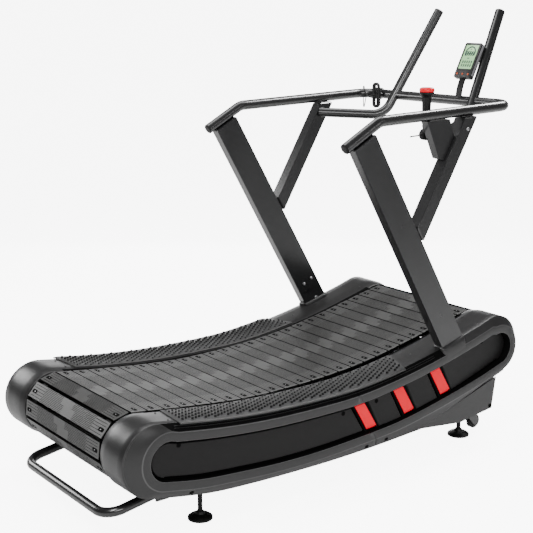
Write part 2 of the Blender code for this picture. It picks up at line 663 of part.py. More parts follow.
def make_handrail_frame(parts, cutters, paint, cap):
    rear, bend, bar = RAIL_REAR, RAIL_BEND, CROSSBAR
    corners = [(rear[0], RAIL_Y, rear[1]), (bend[0], RAIL_Y, bend[1]), (bar[0], RAIL_Y, bar[1]),
               (bar[0], -RAIL_Y, bar[1]), (bend[0], -RAIL_Y, bend[1]), (rear[0], -RAIL_Y, rear[1])]
    rail = tube("handrail", rounded_path(corners, (0.060, 0.070, 0.070, 0.060)), TUBE_R, paint, parts)
    rail = as_mesh(rail, parts)

    buried = Vector(HORN_START) + (Vector(HORN_START) - Vector(HORN_CORNER)).normalized() * 0.025
    horn_path = rounded_path((buried, HORN_CORNER, HORN_TOP), (0.085,), 8)
    along = (Vector(HORN_TOP) - Vector(HORN_CORNER)).normalized()
    for side in (-1, 1):
        flip = Vector((1.0, side, 1.0))
        start, end = Vector(HORN_CORNER) + along * 0.045, Vector(HORN_CORNER) + along * 0.150
        notch = rod("horn_notch", start * flip, end * flip, TUBE_R + 2 * GAP, 16, None, cutters)
        boolean(rail, as_cutter(notch), "DIFFERENCE")
    horn = as_mesh(tube("horn_left", horn_path, TUBE_R, paint, parts), parts)
    face_y = RAIL_Y - STRUT_WIDTH / 2 - GAP
    mitre = box("horn_mitre", (0.400, face_y, 1.180), (0.580, 0.460, 1.280), None, cutters)
    boolean(horn, as_cutter(mitre), "DIFFERENCE")
    right_twin(horn, "horn_right", parts)

    plug_start = Vector(HORN_TOP) + along * GAP
    plug = rod("horn_end_plug_left", plug_start, plug_start + along * 0.004, TUBE_R, 16, cap, parts,
               TUBE_R - 0.003)
    right_twin(plug, "horn_end_plug_right", parts)
    back = (Vector((rear[0], RAIL_Y, rear[1])) - Vector((bend[0], RAIL_Y, bend[1]))).normalized()
    plug_start = Vector((rear[0], RAIL_Y, rear[1])) + back * GAP
    plug = rod("rail_end_plug_left", plug_start, plug_start + back * 0.004, TUBE_R, 16, cap, parts,
               TUBE_R - 0.003)
    right_twin(plug, "rail_end_plug_right", parts)

    half = UPRIGHT_THICK / 2
    upright = flat_outline("upright_left", (upright_outline(),), RAIL_Y - half, RAIL_Y + half, paint, parts)
    round_edges(upright, 0.005)
    right_twin(upright, "upright_right", parts)

    strut_loop = [(0.4852, 1.2655), (0.5475, 1.2674), (0.2923, 0.8366), (0.2618, 0.8881)]
    strut = flat_outline("strut_left", (strut_loop,), RAIL_Y - STRUT_WIDTH / 2, RAIL_Y + STRUT_WIDTH / 2,
                         paint, parts)
    round_edges(strut, 0.004, 1)
    right_twin(strut, "strut_right", parts)


def upright_hole(cutters):
    """Shape of the hole that each upright passes through in the covers."""
    half = UPRIGHT_THICK / 2 + GAP
    hole = flat_outline("upright_hole", (upright_outline(0.0006),), RAIL_Y - half, RAIL_Y + half,
                        None, cutters)
    return as_cutter(hole)


# --- Controls -----------------------------------------------------------------

HUB = (0.348, -0.360, 1.208)


def make_lever(parts, cutters, paint, black, red):
    """Resistance lever inside the right rail, on a bracket under that rail."""
    outline = [(0.308, 1.2590), (0.420, 1.2620), (0.4455, 1.2010), (0.3955, 1.1170), (0.370, 1.1250)]
    bracket = flat_outline("lever_bracket", (outline,), -0.410, -0.3785, paint, parts)
    pin = rod("hub_pin", (HUB[0], -0.384, HUB[2]), (HUB[0], -0.347, HUB[2]), 0.006, 12, None, cutters)
    ear = box("hub_ear", (HUB[0] - 0.012, -0.384, HUB[2] - 0.014),
              (HUB[0] + 0.045, -0.3785 + 0.0001, HUB[2] + 0.030),
              None, cutters)
    boolean(bracket, as_cutter(ear), "UNION")
    boolean(bracket, as_cutter(pin), "UNION")

    hub = [(0.0066, 0.011), (0.020, 0.011), (0.020, -0.011), (0.0066, -0.011)]
    arm = as_mesh(turned("lever_arm", hub, 20, black, parts, HUB, True, True), parts)
    arm.data.materials.append(black)
    low, high = (HUB[0] + 0.001, HUB[1], HUB[2] + 0.016), (HUB[0] + 0.003, HUB[1], 1.354)
    neck = rod("neck", low, high, 0.0125, 8, None, cutters, 0.0185)
    boolean(arm, as_cutter(neck), "UNION")
    tail = rod("tail", (HUB[0] - 0.012, HUB[1], HUB[2]), (HUB[0] - 0.074, HUB[1], HUB[2] - 0.003), 0.0025, 8,
               None,
               cutters)
    boolean(arm, as_cutter(tail), "UNION")
    knob = [(0.0, 0.020), (0.018, 0.0195), (0.0245, 0.015), (0.027, 0.008), (0.027, 0.0), (0.0, 0.0)]
    turned("lever_knob", knob, 20, red, parts, (high[0], HUB[1], high[2] + GAP))
    arm.data.transform(Matrix.Translation(-Vector(HUB)))
    arm.location = HUB


CONSOLE_BASE = (0.749, -0.1505, 1.385)
CONSOLE_LEAN = math.radians(27.0)
CONSOLE_WIDTH, CONSOLE_HEIGHT, CONSOLE_DEPTH = 0.085, 0.146, 0.022
SCREEN_WIDTH, SCREEN_LOW, SCREEN_HIGH = 0.066, 0.035, 0.136
BUTTON_Y = (0.028, 0.0, -0.028)
BUTTON_UP = 0.014
BUTTON_R = 0.0040


def console_frame():
    """Origin at the middle of the face's lower edge; local +X goes into the body, +Z up the face."""
    return Matrix.Translation(CONSOLE_BASE) @ Matrix.Rotation(CONSOLE_LEAN, 4, "Y")


def make_console(parts, cutters, dark, glass, orange, paint):
    frame = console_frame()

    def local_box(name, low, high, material, group):
        obj = box(name, low, high, material, group)
        obj.matrix_world = frame @ Matrix.Translation((Vector(low) + Vector(high)) / 2)
        return obj

    half = CONSOLE_WIDTH / 2
    body = local_box("console_body", (0.0, -half, 0.0), (CONSOLE_DEPTH, half, CONSOLE_HEIGHT), dark, parts)
    round_edges(body, 0.0025, 1)
    screen = ((0.0004, -SCREEN_WIDTH / 2, SCREEN_LOW), (0.0020, SCREEN_WIDTH / 2, SCREEN_HIGH))
    recess = local_box("screen_recess", (-0.004, screen[0][1] - GAP, SCREEN_LOW - GAP),
                       (0.0020 + GAP, screen[1][1] + GAP, SCREEN_HIGH + GAP), None, cutters)
    boolean(body, as_cutter(recess), "DIFFERENCE")
    local_box("console_screen", screen[0], screen[1], glass, parts)
    for number, y in enumerate(BUTTON_Y, start=1):
        hole = rod("button_hole", (-0.004, y, BUTTON_UP), (0.0045, y, BUTTON_UP), BUTTON_R + GAP, 16,
                   None, cutters)
        hole.matrix_world = frame @ hole.matrix_basis
        boolean(body, as_cutter(hole), "DIFFERENCE")
        button = rod(f"console_button_{number}", (-0.0012, y, BUTTON_UP), (0.0025, y, BUTTON_UP),
                     BUTTON_R, 16,
                     orange, parts)
        button.matrix_world = frame @ button.matrix_basis

    under = frame @ Vector((CONSOLE_DEPTH * 0.5, 0.0, -GAP))
    clamp = Vector((CROSSBAR[0] - 0.018, CONSOLE_BASE[1], CROSSBAR[1] + TUBE_R + 0.001))
    curl = under - (frame.to_3x3() @ Vector((0.0, 0.0, 0.040)))
    outer, inner = [], []
    for k in range(9):
        t = k / 8
        point = under * (1 - t) ** 2 + curl * 2 * t * (1 - t) + clamp * t ** 2
        slope = (curl - under) * 2 * (1 - t) + (clamp - curl) * 2 * t
        side = Vector((-slope.z, 0.0, slope.x)).normalized() * 0.003
        outer.append(((point + side).x, (point + side).z))
        inner.append(((point - side).x, (point - side).z))
    flat_outline("console_arm", (outer + inner[::-1],), CONSOLE_BASE[1] - 0.014, CONSOLE_BASE[1] + 0.014,
                 paint, parts)


def make_lift_handle(parts, paint):
    y = 0.288
    arm_end, corner = (-0.6400, 0.1235), (-0.945, 0.083)
    corners = [(arm_end[0], y, arm_end[1]), (-0.780, y, 0.110), (corner[0], y, corner[1]),
               (corner[0], -y, corner[1]), (-0.780, -y, 0.110), (arm_end[0], -y, arm_end[1])]
    tube("lift_handle", rounded_path(corners, (0.200, 0.062, 0.062, 0.200), 5), 0.0163, paint, parts)


LEAD_R = 0.0022
LEAD_ROUTE = ((0.7375, 0.3800, 1.2735), (0.7378, 0.3830, 1.2620), (0.7410, 0.3950, 1.2400),
              (0.7470, 0.4060, 1.2300), (0.7550, 0.4140, 1.2380), (0.7575, 0.4175, 1.2620),
              (0.7550, 0.4165, 1.2920), (0.7470, 0.4100, 1.3150), (0.7380, 0.3960, 1.3205),
              (0.7265, 0.3775, 1.3185), (0.7190, 0.3630, 1.3030), (0.7230, 0.3530, 1.2800),
              (0.7250, 0.3380, 1.2740), (0.7260, 0.3240, 1.2790))
HANK_CENTRE = (0.7260, 0.302, 1.290)
HANK_DEPTH, HANK_HALF_WIDTH = 0.022, 0.019
HANK_REACH, HANK_END = 0.036, 0.016


def smooth_route(points, count):
    """Even samples of a Catmull-Rom curve through 3D points."""
    pts = [Vector(p) for p in points]
    pts = [2 * pts[0] - pts[1]] + pts + [2 * pts[-1] - pts[-2]]
    spans = len(points) - 1
    samples = []
    for k in range(count):
        u = spans * k / (count - 1)
        i = min(int(u), spans - 1)
        t = u - i
        a, b, c, d = pts[i:i + 4]
        samples.append(0.5 * (2 * b + (c - a) * t + (2 * a - 5 * b + 4 * c - d) * t ** 2
                              + (3 * b - a - 3 * c + d) * t ** 3))
    return samples


def make_lead(parts, black):
    """Sensor lead from the handrail's corner, and its spare length in a tied hank behind the crossbar."""
    tube("sensor_lead", smooth_route(LEAD_ROUTE, 30), LEAD_R, black, parts)
    outline = []
    for k in range(16):
        angle = 2 * math.pi * k / 16
        reach = HANK_REACH if math.sin(angle) > 0 else -HANK_REACH
        outline.append((HANK_CENTRE[1] + HANK_HALF_WIDTH * math.cos(angle),
                        HANK_CENTRE[2] + reach + HANK_END * math.sin(angle)))
    hank = flat_outline("sensor_lead_hank", (outline,), -HANK_DEPTH / 2, HANK_DEPTH / 2, black, parts)
    across = Matrix.Rotation(math.pi / 2, 4, "Z")
    hank.data.transform(Matrix.Translation((HANK_CENTRE[0], 0.0, 0.0)) @ across)


def main():
    clear_scene()
    parts = new_collection("curved_manual_treadmill")
    cutters = new_collection("cutters")
    paint = finish("black_powder_coat", (0.025, 0.025, 0.027), 0.35, 0.3)
    plastic = finish("charcoal_plastic", (0.055, 0.055, 0.057), 0.45)
    grip = finish("grip_rubber", (0.045, 0.045, 0.047), 0.6)
    rubber = finish("slat_rubber", (0.075, 0.075, 0.078), 0.5)
    black = finish("black_rubber", (0.02, 0.02, 0.02), 0.6)
    steel = finish("steel", (0.45, 0.45, 0.46), 0.3, 1.0)
    iron = finish("cast_iron", (0.12, 0.12, 0.12), 0.5, 0.8)
    red = finish("red_plastic", (0.8, 0.02, 0.03), 0.35)
    glass = finish("lcd", (0.45, 0.62, 0.42), 0.2)
    orange = finish("orange_rubber", (0.7, 0.2, 0.05), 0.5)

    hole = upright_hole(cutters)
    make_running_gear(parts, rubber, steel, black)
    pivot, magnet = make_resistance(parts, steel, black, iron)
    make_frame(parts, cutters, paint, pivot, magnet)
    make_feet(parts, black, rubber)
    make_covers(parts, cutters, plastic, red, hole)
    make_deck_covers(parts, plastic, grip, hole)
    make_skirts(parts, plastic)
    make_handrail_frame(parts, cutters, paint, black)
    make_lever(parts, cutters, paint, black, red)
    make_console(parts, cutters, black, glass, orange, paint)
    make_lift_handle(parts, paint)
    make_lead(parts, black)


main()
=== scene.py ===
"""Looks of the curved manual treadmill: fine surfaces, materials, camera and light round the CAD model."""
import math

import bmesh
import bpy
from mathutils import Matrix, Vector


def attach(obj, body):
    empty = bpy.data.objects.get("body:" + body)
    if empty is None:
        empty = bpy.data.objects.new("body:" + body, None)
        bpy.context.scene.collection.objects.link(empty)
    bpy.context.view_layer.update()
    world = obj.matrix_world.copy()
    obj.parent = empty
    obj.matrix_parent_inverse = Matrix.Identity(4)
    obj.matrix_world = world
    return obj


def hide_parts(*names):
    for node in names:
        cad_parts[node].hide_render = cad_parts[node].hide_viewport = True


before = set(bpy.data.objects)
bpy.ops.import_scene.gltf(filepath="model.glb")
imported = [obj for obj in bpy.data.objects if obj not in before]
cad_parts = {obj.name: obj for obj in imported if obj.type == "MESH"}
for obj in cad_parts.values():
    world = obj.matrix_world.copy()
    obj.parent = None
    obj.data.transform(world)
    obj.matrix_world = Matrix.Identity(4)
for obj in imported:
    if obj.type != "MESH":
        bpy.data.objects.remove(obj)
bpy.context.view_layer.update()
ROOT = "treadmill"
SIDES = ((1, "left"), (-1, "right"))

# Shapes shared with the CAD model, in metres
DECK_LINE = ((-0.814, 0.400), (-0.600, 0.369), (-0.400, 0.351), (-0.200, 0.345), (0.000, 0.348),
             (0.200, 0.371), (0.400, 0.408), (0.600, 0.457), (0.6925, 0.4843))
BELT_LINE = ((-0.815, 0.396), (-0.600, 0.370), (-0.400, 0.351), (-0.250, 0.346), (0.000, 0.355),
             (0.200, 0.376), (0.400, 0.413), (0.600, 0.457), (0.703, 0.478))
RETURN_LINE = ((-0.845, 0.1665), (-0.600, 0.151), (-0.200, 0.150), (0.200, 0.176), (0.500, 0.217),
               (0.750, 0.270))
RIM_BOTTOM_LINE = ((-0.814, 0.1815), (-0.683, 0.157), (-0.526, 0.142), (-0.360, 0.131), (-0.184, 0.129),
                   (0.000, 0.1365), (0.196, 0.151), (0.402, 0.186), (0.618, 0.2335), (0.7496, 0.2706))
SILL_LINE = ((-0.860, 0.163), (-0.747, 0.140), (-0.612, 0.119), (-0.450, 0.1085), (-0.279, 0.103),
             (-0.098, 0.101), (0.100, 0.105), (0.323, 0.1155))
SILL_FRONT = (0.755, 0.2655)
REAR_CAP, FRONT_CAP = (-0.834, 0.281), (0.717, 0.373)
REAR_DRUM, FRONT_DRUM = (-0.834, 0.281), (0.724, 0.374)
REAR_RIM_CENTRE, FRONT_RIM_CENTRE = (-0.796, 0.277), (0.724, 0.360)
DECK_INNER, DECK_OUTER, RIM_OUTER = 0.266, 0.410, 0.430
BEVEL_DROP, RIM_WIDTH = 0.026, 0.031
LINE_COUNT, ARC_STEPS = 65, 40
LOW_START = LINE_COUNT + ARC_STEPS - 1
SEAM = ((0.003, 0.310), (0.069, 0.156))
ACCENT_X, ACCENT_WIDTH, ACCENT_LEAN = (-0.018, 0.169, 0.355), 0.045, 0.060
TUBE_R, RAIL_Y = 0.019, 0.400
BAR_X, BAR_Z = 0.757, 1.2944
HUB = (0.348, -0.360, 1.208)
CONSOLE_BASE, CONSOLE_LEAN = (0.749, -0.1505, 1.385), math.radians(27.0)


# --- Camera -------------------------------------------------------------------

def make_camera():
    data = bpy.data.cameras.new("camera")
    data.lens = 76.42
    data.sensor_width = 36.0
    data.clip_end = 60.0
    camera = bpy.data.objects.new("camera", data)
    bpy.context.scene.collection.objects.link(camera)
    aim = Vector((0.5928, 0.7735, -0.2244))
    camera.location = (-2.5532, -3.2176, 1.6543)
    camera.rotation_euler = aim.to_track_quat("-Z", "Y").to_euler()
    bpy.context.scene.camera = camera


# --- Lines and outlines in the XZ plane ----------------------------------------

def between(a, b, share):
    return a + (b - a) * share


def ring_angles(count, spin=0.0):
    """Even steps round a circle."""
    return [2 * math.pi * k / count + spin for k in range(count)]


def smooth_line(stations, count):
    """Points at even steps of x on a cubic through the stations."""
    last = len(stations) - 1
    slopes = []
    for i in range(last + 1):
        before, after = stations[max(i - 1, 0)], stations[min(i + 1, last)]
        slopes.append((after[1] - before[1]) / (after[0] - before[0]))
    points = []
    for k in range(count):
        x = between(stations[0][0], stations[-1][0], k / (count - 1))
        i = max(j for j in range(last) if stations[j][0] <= x + 1e-9)
        (x0, z0), (x1, z1) = stations[i:i + 2]
        t = (x - x0) / (x1 - x0)
        swing = (x1 - x0) * t * (1 - t) * (slopes[i] * (1 - t) - slopes[i + 1] * t)
        points.append((x, between(z0, z1, t * t * (3 - 2 * t)) + swing))
    return points


def height(line, x):
    for (x0, z0), (x1, z1) in zip(line, line[1:]):
        if x <= x1:
            return between(z0, z1, (x - x0) / (x1 - x0))
    return line[-1][1]


def arc(centre, start, end, steps):
    """Points strictly between start and end, clockwise with +X right and +Z up."""
    a0 = math.atan2(start[1] - centre[1], start[0] - centre[0])
    a1 = math.atan2(end[1] - centre[1], end[0] - centre[0])
    r0, r1 = math.dist(centre, start), math.dist(centre, end)
    turn = (a0 - a1) % (2 * math.pi)
    points = []
    for k in range(1, steps):
        angle, radius = a0 - turn * k / steps, between(r0, r1, k / steps)
        points.append((centre[0] + radius * math.cos(angle), centre[1] + radius * math.sin(angle)))
    return points


def band(top, bottom, rear_centre, front_centre, steps=ARC_STEPS):
    """Closed outline of two lines, both rear to front, joined by an arc at each end."""
    back = bottom[::-1]
    return top + arc(front_centre, top[-1], back[0], steps) + back + arc(rear_centre, back[-1], top[0], steps)


def inset(loop, distance):
    """Closed outline moved inwards."""
    points = []
    for i, point in enumerate(loop):
        before, after = Vector(loop[i - 1]), Vector(loop[(i + 1) % len(loop)])
        here = Vector(point)
        a, b = (here - before).normalized(), (after - here).normalized()
        inward_a, inward_b = Vector((a.y, -a.x)), Vector((b.y, -b.x))
        mitre = (inward_a + inward_b).normalized()
        points.append(tuple(here + mitre * distance / max(mitre.dot(inward_a), 0.3)))
    return points


DECK = smooth_line(DECK_LINE, LINE_COUNT)


def outer_loop():
    """Deck line, rear and front cap, and the sill with its straight front part."""
    straight = 16
    sill = smooth_line(SILL_LINE, LINE_COUNT - straight)
    for k in range(1, straight + 1):
        sill.append(tuple(between(a, b, k / straight) for a, b in zip(SILL_LINE[-1], SILL_FRONT)))
    return band(DECK, sill, REAR_CAP, FRONT_CAP)


def rim_loop():
    """Outline of the side's flat rim, below the bevel."""
    x0, x1 = -0.779, 0.703
    steps = [between(x0, x1, k / (LINE_COUNT - 1)) for k in range(LINE_COUNT)]
    top = [(x, height(DECK, min(x, DECK_LINE[-1][0])) - BEVEL_DROP) for x in steps]
    top[0], top[-1] = (x0, 0.3725), (x1, 0.4506)
    return band(top, smooth_line(RIM_BOTTOM_LINE, LINE_COUNT), REAR_RIM_CENTRE, FRONT_RIM_CENTRE)


OUTER, RIM = outer_loop(), rim_loop()


def split_lines(loop):
    """Top line and bottom line of a band, both rear to front."""
    return loop[:LINE_COUNT], loop[LOW_START:LOW_START + LINE_COUNT][::-1]


# --- Materials ----------------------------------------------------------------

def fill(node, values):
    """Set a node's inputs by name."""
    for name, value in values.items():
        node.inputs[name].default_value = value
    return node


def material(name, colour, roughness, metallic=0.0, grain=0.0, grain_scale=900.0, vary=0.0, vary_scale=14.0,
             coat=0.0, specular=0.5, wear_and_highlight=0.0, glow=0.0):
    """Principled material whose colour, roughness and surface vary with position on the object, and whose
    sharp edges can be made lighter: partly rubbed wear, partly painted highlight.
    """
    mat = bpy.data.materials.new(name)
    mat.use_nodes = True
    nodes, links = mat.node_tree.nodes, mat.node_tree.links
    shader = fill(nodes["Principled BSDF"], {
        "Metallic": metallic, "Coat Weight": coat, "Coat Roughness": 0.15, "Specular IOR Level": specular,
        "Emission Color": (*colour, 1.0), "Emission Strength": glow})
    place = nodes.new("ShaderNodeTexCoord")

    def noise(scale, detail=2.0):
        tex = fill(nodes.new("ShaderNodeTexNoise"), {"Scale": scale, "Detail": detail})
        links.new(place.outputs["Object"], tex.inputs["Vector"])
        return tex.outputs["Fac"]

    def ranged(source, limits):
        spread = fill(nodes.new("ShaderNodeMapRange"), limits)
        links.new(source, spread.inputs["Value"])
        return spread.outputs["Result"]

    def tinted(factor, tint):
        mix = nodes.new("ShaderNodeMix")
        mix.data_type = "RGBA"
        mix.inputs["B"].default_value = (*[min(c, 1.0) for c in tint], 1.0)
        links.new(factor, mix.inputs["Factor"])
        return mix

    soft = noise(vary_scale, 4.0)
    spread = ranged(soft, {"To Min": max(roughness - 0.06, 0.02), "To Max": roughness + 0.06})
    links.new(spread, shader.inputs["Roughness"])
    mix = tinted(soft, [c * (1 + vary) for c in colour])
    mix.inputs["A"].default_value = (*[c * (1 - vary) for c in colour], 1.0)
    # Sharp convex edges are made lighter: partly rubbed wear, partly painted highlight along the edges.
    if wear_and_highlight:
        edge = nodes.new("ShaderNodeNewGeometry")
        reach = ranged(edge.outputs["Pointiness"], {"From Min": 0.53, "From Max": 0.60, "To Max": wear_and_highlight})
        rubbed_and_lit = tinted(reach, [c * 2.2 + 0.02 for c in colour])
        links.new(mix.outputs["Result"], rubbed_and_lit.inputs["A"])
        mix = rubbed_and_lit
    links.new(mix.outputs["Result"], shader.inputs["Base Color"])
    if grain:
        bump = fill(nodes.new("ShaderNodeBump"), {"Strength": grain, "Distance": 0.0004})
        links.new(noise(grain_scale), bump.inputs["Height"])
        links.new(bump.outputs["Normal"], shader.inputs["Normal"])
    return mat


PAINT = material("powder_coat", (0.0065, 0.0065, 0.0070), 0.30, vary=0.15, coat=0.4)
# The cover plastic's lighter sharp edges are partly wear and partly painted highlight.
PLASTIC = material("charcoal_plastic", (0.0120, 0.0118, 0.0120), 0.35, grain=0.16, grain_scale=1800,
                   vary=0.12, wear_and_highlight=0.35, specular=0.40)
# Pale grey: painted highlight on the thin strips along the side covers' edge fillets; on the deck screws it
# is their own grey.
HIGHLIGHT_GREY = material("highlight_and_screw_grey", (0.045, 0.045, 0.045), 0.30, vary=0.3, vary_scale=5)
PANEL = material("panel_plastic", (0.0065, 0.0062, 0.0063), 0.44, grain=0.25, grain_scale=1600, vary=0.12,
                 specular=0.16)
DARK = material("black_plastic", (0.0030, 0.0030, 0.0030), 0.45, grain=0.3, vary=0.2, specular=0.25)
SLAT = material("slat_rubber", (0.038, 0.038, 0.037), 0.46, grain=0.5, grain_scale=1100, vary=0.25,
                vary_scale=22)
# Near black that stands for shade: painted shade in the slats' cut lines and on their ends, in the cover
# recesses and slots, in the screw holes, on the top bevel, on the deck flank and in the gap beside the slats.
SHADE_BLACK = material("painted_shade_black", (0.0020, 0.0020, 0.0020), 0.8, grain=0.3, vary=0.2, specular=0.04)
GRIP = material("grip_rubber", (0.024, 0.024, 0.024), 0.50, grain=0.4, grain_scale=1300, vary=0.15)
# Studs far darker than the grip pad: painted shade of the studs' shadowed sides.
STUD_SHADE = material("stud_shade_rubber", (0.0035, 0.0035, 0.0035), 0.50, grain=0.3, vary=0.2, specular=0.25)
RUBBER = material("black_rubber", (0.006, 0.006, 0.006), 0.6, grain=0.6, grain_scale=700, vary=0.2,
                  specular=0.3)
STEEL = material("machined_steel", (0.55, 0.55, 0.56), 0.28, 1.0, grain=0.3, grain_scale=500, vary=0.1)
IRON = material("flywheel_iron", (0.13, 0.13, 0.13), 0.5, 0.8, grain=0.8, grain_scale=400, vary=0.25)
ZINC = material("bolt_zinc", (0.42, 0.42, 0.43), 0.32, 1.0, grain=0.3, vary=0.1)
BOLT = material("black_bolt", (0.012, 0.012, 0.012), 0.35, 0.5, grain=0.3, vary=0.1)
# The red bars and the knob glow a little although they are no lamps: painted light.
RED = material("red_plastic", (0.70, 0.0, 0.014), 0.42, grain=0.25, grain_scale=1500, vary=0.05,
               specular=0.15, glow=0.35)
KNOB_RED = material("knob_red", (0.60, 0.0, 0.010), 0.28, grain=0.05, vary=0.05, specular=0.25, glow=0.35)
CASE = material("console_case", (0.006, 0.006, 0.006), 0.35, grain=0.3, grain_scale=1500, vary=0.15)
SILVER = material("console_band", (0.30, 0.295, 0.31), 0.35, 0.5, grain=0.3, vary=0.08)
LCD = material("lcd_film", (0.40, 0.74, 0.36), 0.25, vary=0.04, vary_scale=60, coat=0.3)
SEGMENT = material("lcd_segment", (0.008, 0.030, 0.030), 0.35, vary=0.1)
ORANGE = material("orange_rubber", (0.50, 0.07, 0.010), 0.5, grain=0.3, vary=0.1)
CABLE = material("cable_sheath", (0.004, 0.004, 0.004), 0.42, grain=0.3, grain_scale=2500, vary=0.2)


# --- Pieces -------------------------------------------------------------------

def net(rows, closed=True, wrap=False, ends=False, flip=False):
    """Points and faces of a net through rows of equally many points: closed joins each row's own ends,
    wrap joins the last row to the first, and ends fills the first and the last row."""
    count = len(rows[0])
    faces = []
    for r in range(len(rows) if wrap else len(rows) - 1):
        low, high = r * count, (r + 1) % len(rows) * count
        for i in range(count if closed else count - 1):
            j = (i + 1) % count
            faces.append((low + i, low + j, high + j, high + i))
    if ends:
        last = (len(rows) - 1) * count
        faces += [tuple(range(count))[::-1], tuple(range(last, last + count))]
    return [point for row in rows for point in row], [face[::-1] if flip else face for face in faces]


def rounded_rectangle(half_u, half_v, radius, steps=6):
    """Outline about the origin with an arc at each corner."""
    points = []
    for u, v, base in ((1, 1, 0), (-1, 1, 90), (-1, -1, 180), (1, -1, 270)):
        for k in range(steps + 1):
            a = math.radians(base + 90 * k / steps)
            points.append((u * (half_u - radius) + radius * math.cos(a),
                           v * (half_v - radius) + radius * math.sin(a)))
    return points


def fix_normals(piece):
    """Turn the faces of a closed mesh outwards."""
    bm = bmesh.new()
    bm.from_mesh(piece.data)
    bmesh.ops.recalc_face_normals(bm, faces=bm.faces)
    bm.to_mesh(piece.data)
    bm.free()
    return piece


def settle(obj, mat, body=ROOT, replaces=()):
    """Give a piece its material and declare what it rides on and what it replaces."""
    if mat is not None:
        obj.data.materials.append(mat)
    if obj.name not in bpy.context.scene.collection.all_objects:
        bpy.context.scene.collection.objects.link(obj)
    bpy.context.view_layer.update()
    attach(obj, body)
    if replaces:
        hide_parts(*replaces)
    return obj


def mesh_piece(name, verts, faces, mat, body=ROOT, slot=None, replaces=(), smooth=None):
    """Piece from vertices and faces; smooth is the sharp angle in degrees, or None for flat."""
    mesh = bpy.data.meshes.new(name)
    mesh.from_pydata([tuple(v) for v in verts], [], faces)
    mesh.update()
    if smooth is not None:
        mesh.shade_smooth()
        mesh.set_sharp_from_angle(angle=math.radians(smooth))
    return settle(bpy.data.objects.new(name, mesh), mat, body, replaces)


class Pile:
    """Collects many small shapes into one mesh."""

    def __init__(self):
        self.verts, self.faces = [], []

    def add(self, verts, faces):
        """Append a shape."""
        base = len(self.verts)
        self.verts += [tuple(v) for v in verts]
        self.faces += [tuple(base + i for i in face) for face in faces]

    def lathe(self, profile, at, axis, sides=12, spin=0.0):
        """Turned shape with filled ends: profile of (radius, height along axis)."""
        turn = Vector(axis).to_track_quat("Z", "Y").to_matrix()
        rows = [[turn @ Vector((radius * math.cos(a), radius * math.sin(a), h)) + Vector(at)
                 for a in ring_angles(sides, spin)] for radius, h in profile]
        self.add(*net(rows, ends=True, flip=True))

    def screw_head(self, at, axis, radius):
        """Low domed head with a round recess in it, its axis pointing outwards."""
        profile = ((0.42, 0.15), (0.48, 0.62), (0.80, 0.50), (1.0, 0.20), (1.0, -0.3))
        self.lathe([(r * radius, h * radius) for r, h in profile], at, axis, 18)

    def piece(self, name, mat, body=ROOT, slot=None, replaces=(), smooth=35):
        return mesh_piece(name, self.verts, self.faces, mat, body, slot, replaces, smooth)


def poly_curve(name, path, dimensions, radius, resolution):
    """Curve through the path's points with a round bevel."""
    curve = bpy.data.curves.new(name, "CURVE")
    curve.dimensions = dimensions
    curve.bevel_depth = radius
    curve.bevel_resolution = resolution
    spline = curve.splines.new("POLY")
    spline.points.add(len(path) - 1)
    for point, place in zip(spline.points, path):
        point.co = (*place, 1.0)
    return curve, spline


def tube_piece(name, path, radius, mat, body=ROOT, replaces=(), resolution=7):
    """Round tube or wire along a path."""
    curve, spline = poly_curve(name, path, "3D", radius, resolution)
    curve.use_fill_caps = True
    spline.use_smooth = True
    return settle(bpy.data.objects.new(name, curve), mat, body, replaces)


def plate_piece(name, loop, mat):
    """Flat panel with softly rounded edges, in the XY plane; it is placed by the caller."""
    curve, spline = poly_curve(name, [(x, z, 0.0) for x, z in loop], "2D", PANEL_EDGE, 3)
    curve.fill_mode = "BOTH"
    curve.extrude = PANEL_HALF - PANEL_EDGE
    curve.offset = -PANEL_EDGE
    spline.use_cyclic_u = True
    curve.materials.append(mat)
    return bpy.data.objects.new(name, curve)


def rounded_path(corners, radii, steps=14):
    """Path through corners, each rounded to its radius."""
    corners = [Vector(c) for c in corners]
    path = [corners[0]]
    for before, here, after, radius in zip(corners, corners[1:], corners[2:], radii):
        a, b = (before - here).normalized(), (after - here).normalized()
        half = a.angle(b) / 2
        reach = radius / math.tan(half)
        centre = here + (a + b).normalized() * radius / math.sin(half)
        start, end = here + a * reach - centre, here + b * reach - centre
        sweep = start.angle(end)
        for k in range(steps + 1):
            t = k / steps
            turned = start * math.sin((1 - t) * sweep) + end * math.sin(t * sweep)
            path.append(centre + turned / math.sin(sweep))
    path.append(corners[-1])
    return path


def smooth_route(points, count):
    """Smooth curve through given points."""
    pts = [Vector(p) for p in points]
    pts = [2 * pts[0] - pts[1]] + pts + [2 * pts[-1] - pts[-2]]
    spans = len(points) - 1
    samples = []
    for k in range(count):
        u = spans * k / (count - 1)
        i = min(int(u), spans - 1)
        t = u - i
        a, b, c, d = pts[i:i + 4]
        samples.append(0.5 * (2 * b + (c - a) * t + (2 * a - 5 * b + 4 * c - d) * t ** 2
                              + (3 * b - a - 3 * c + d) * t ** 3))
    return samples


# --- The lead -----------------------------------------------------------------

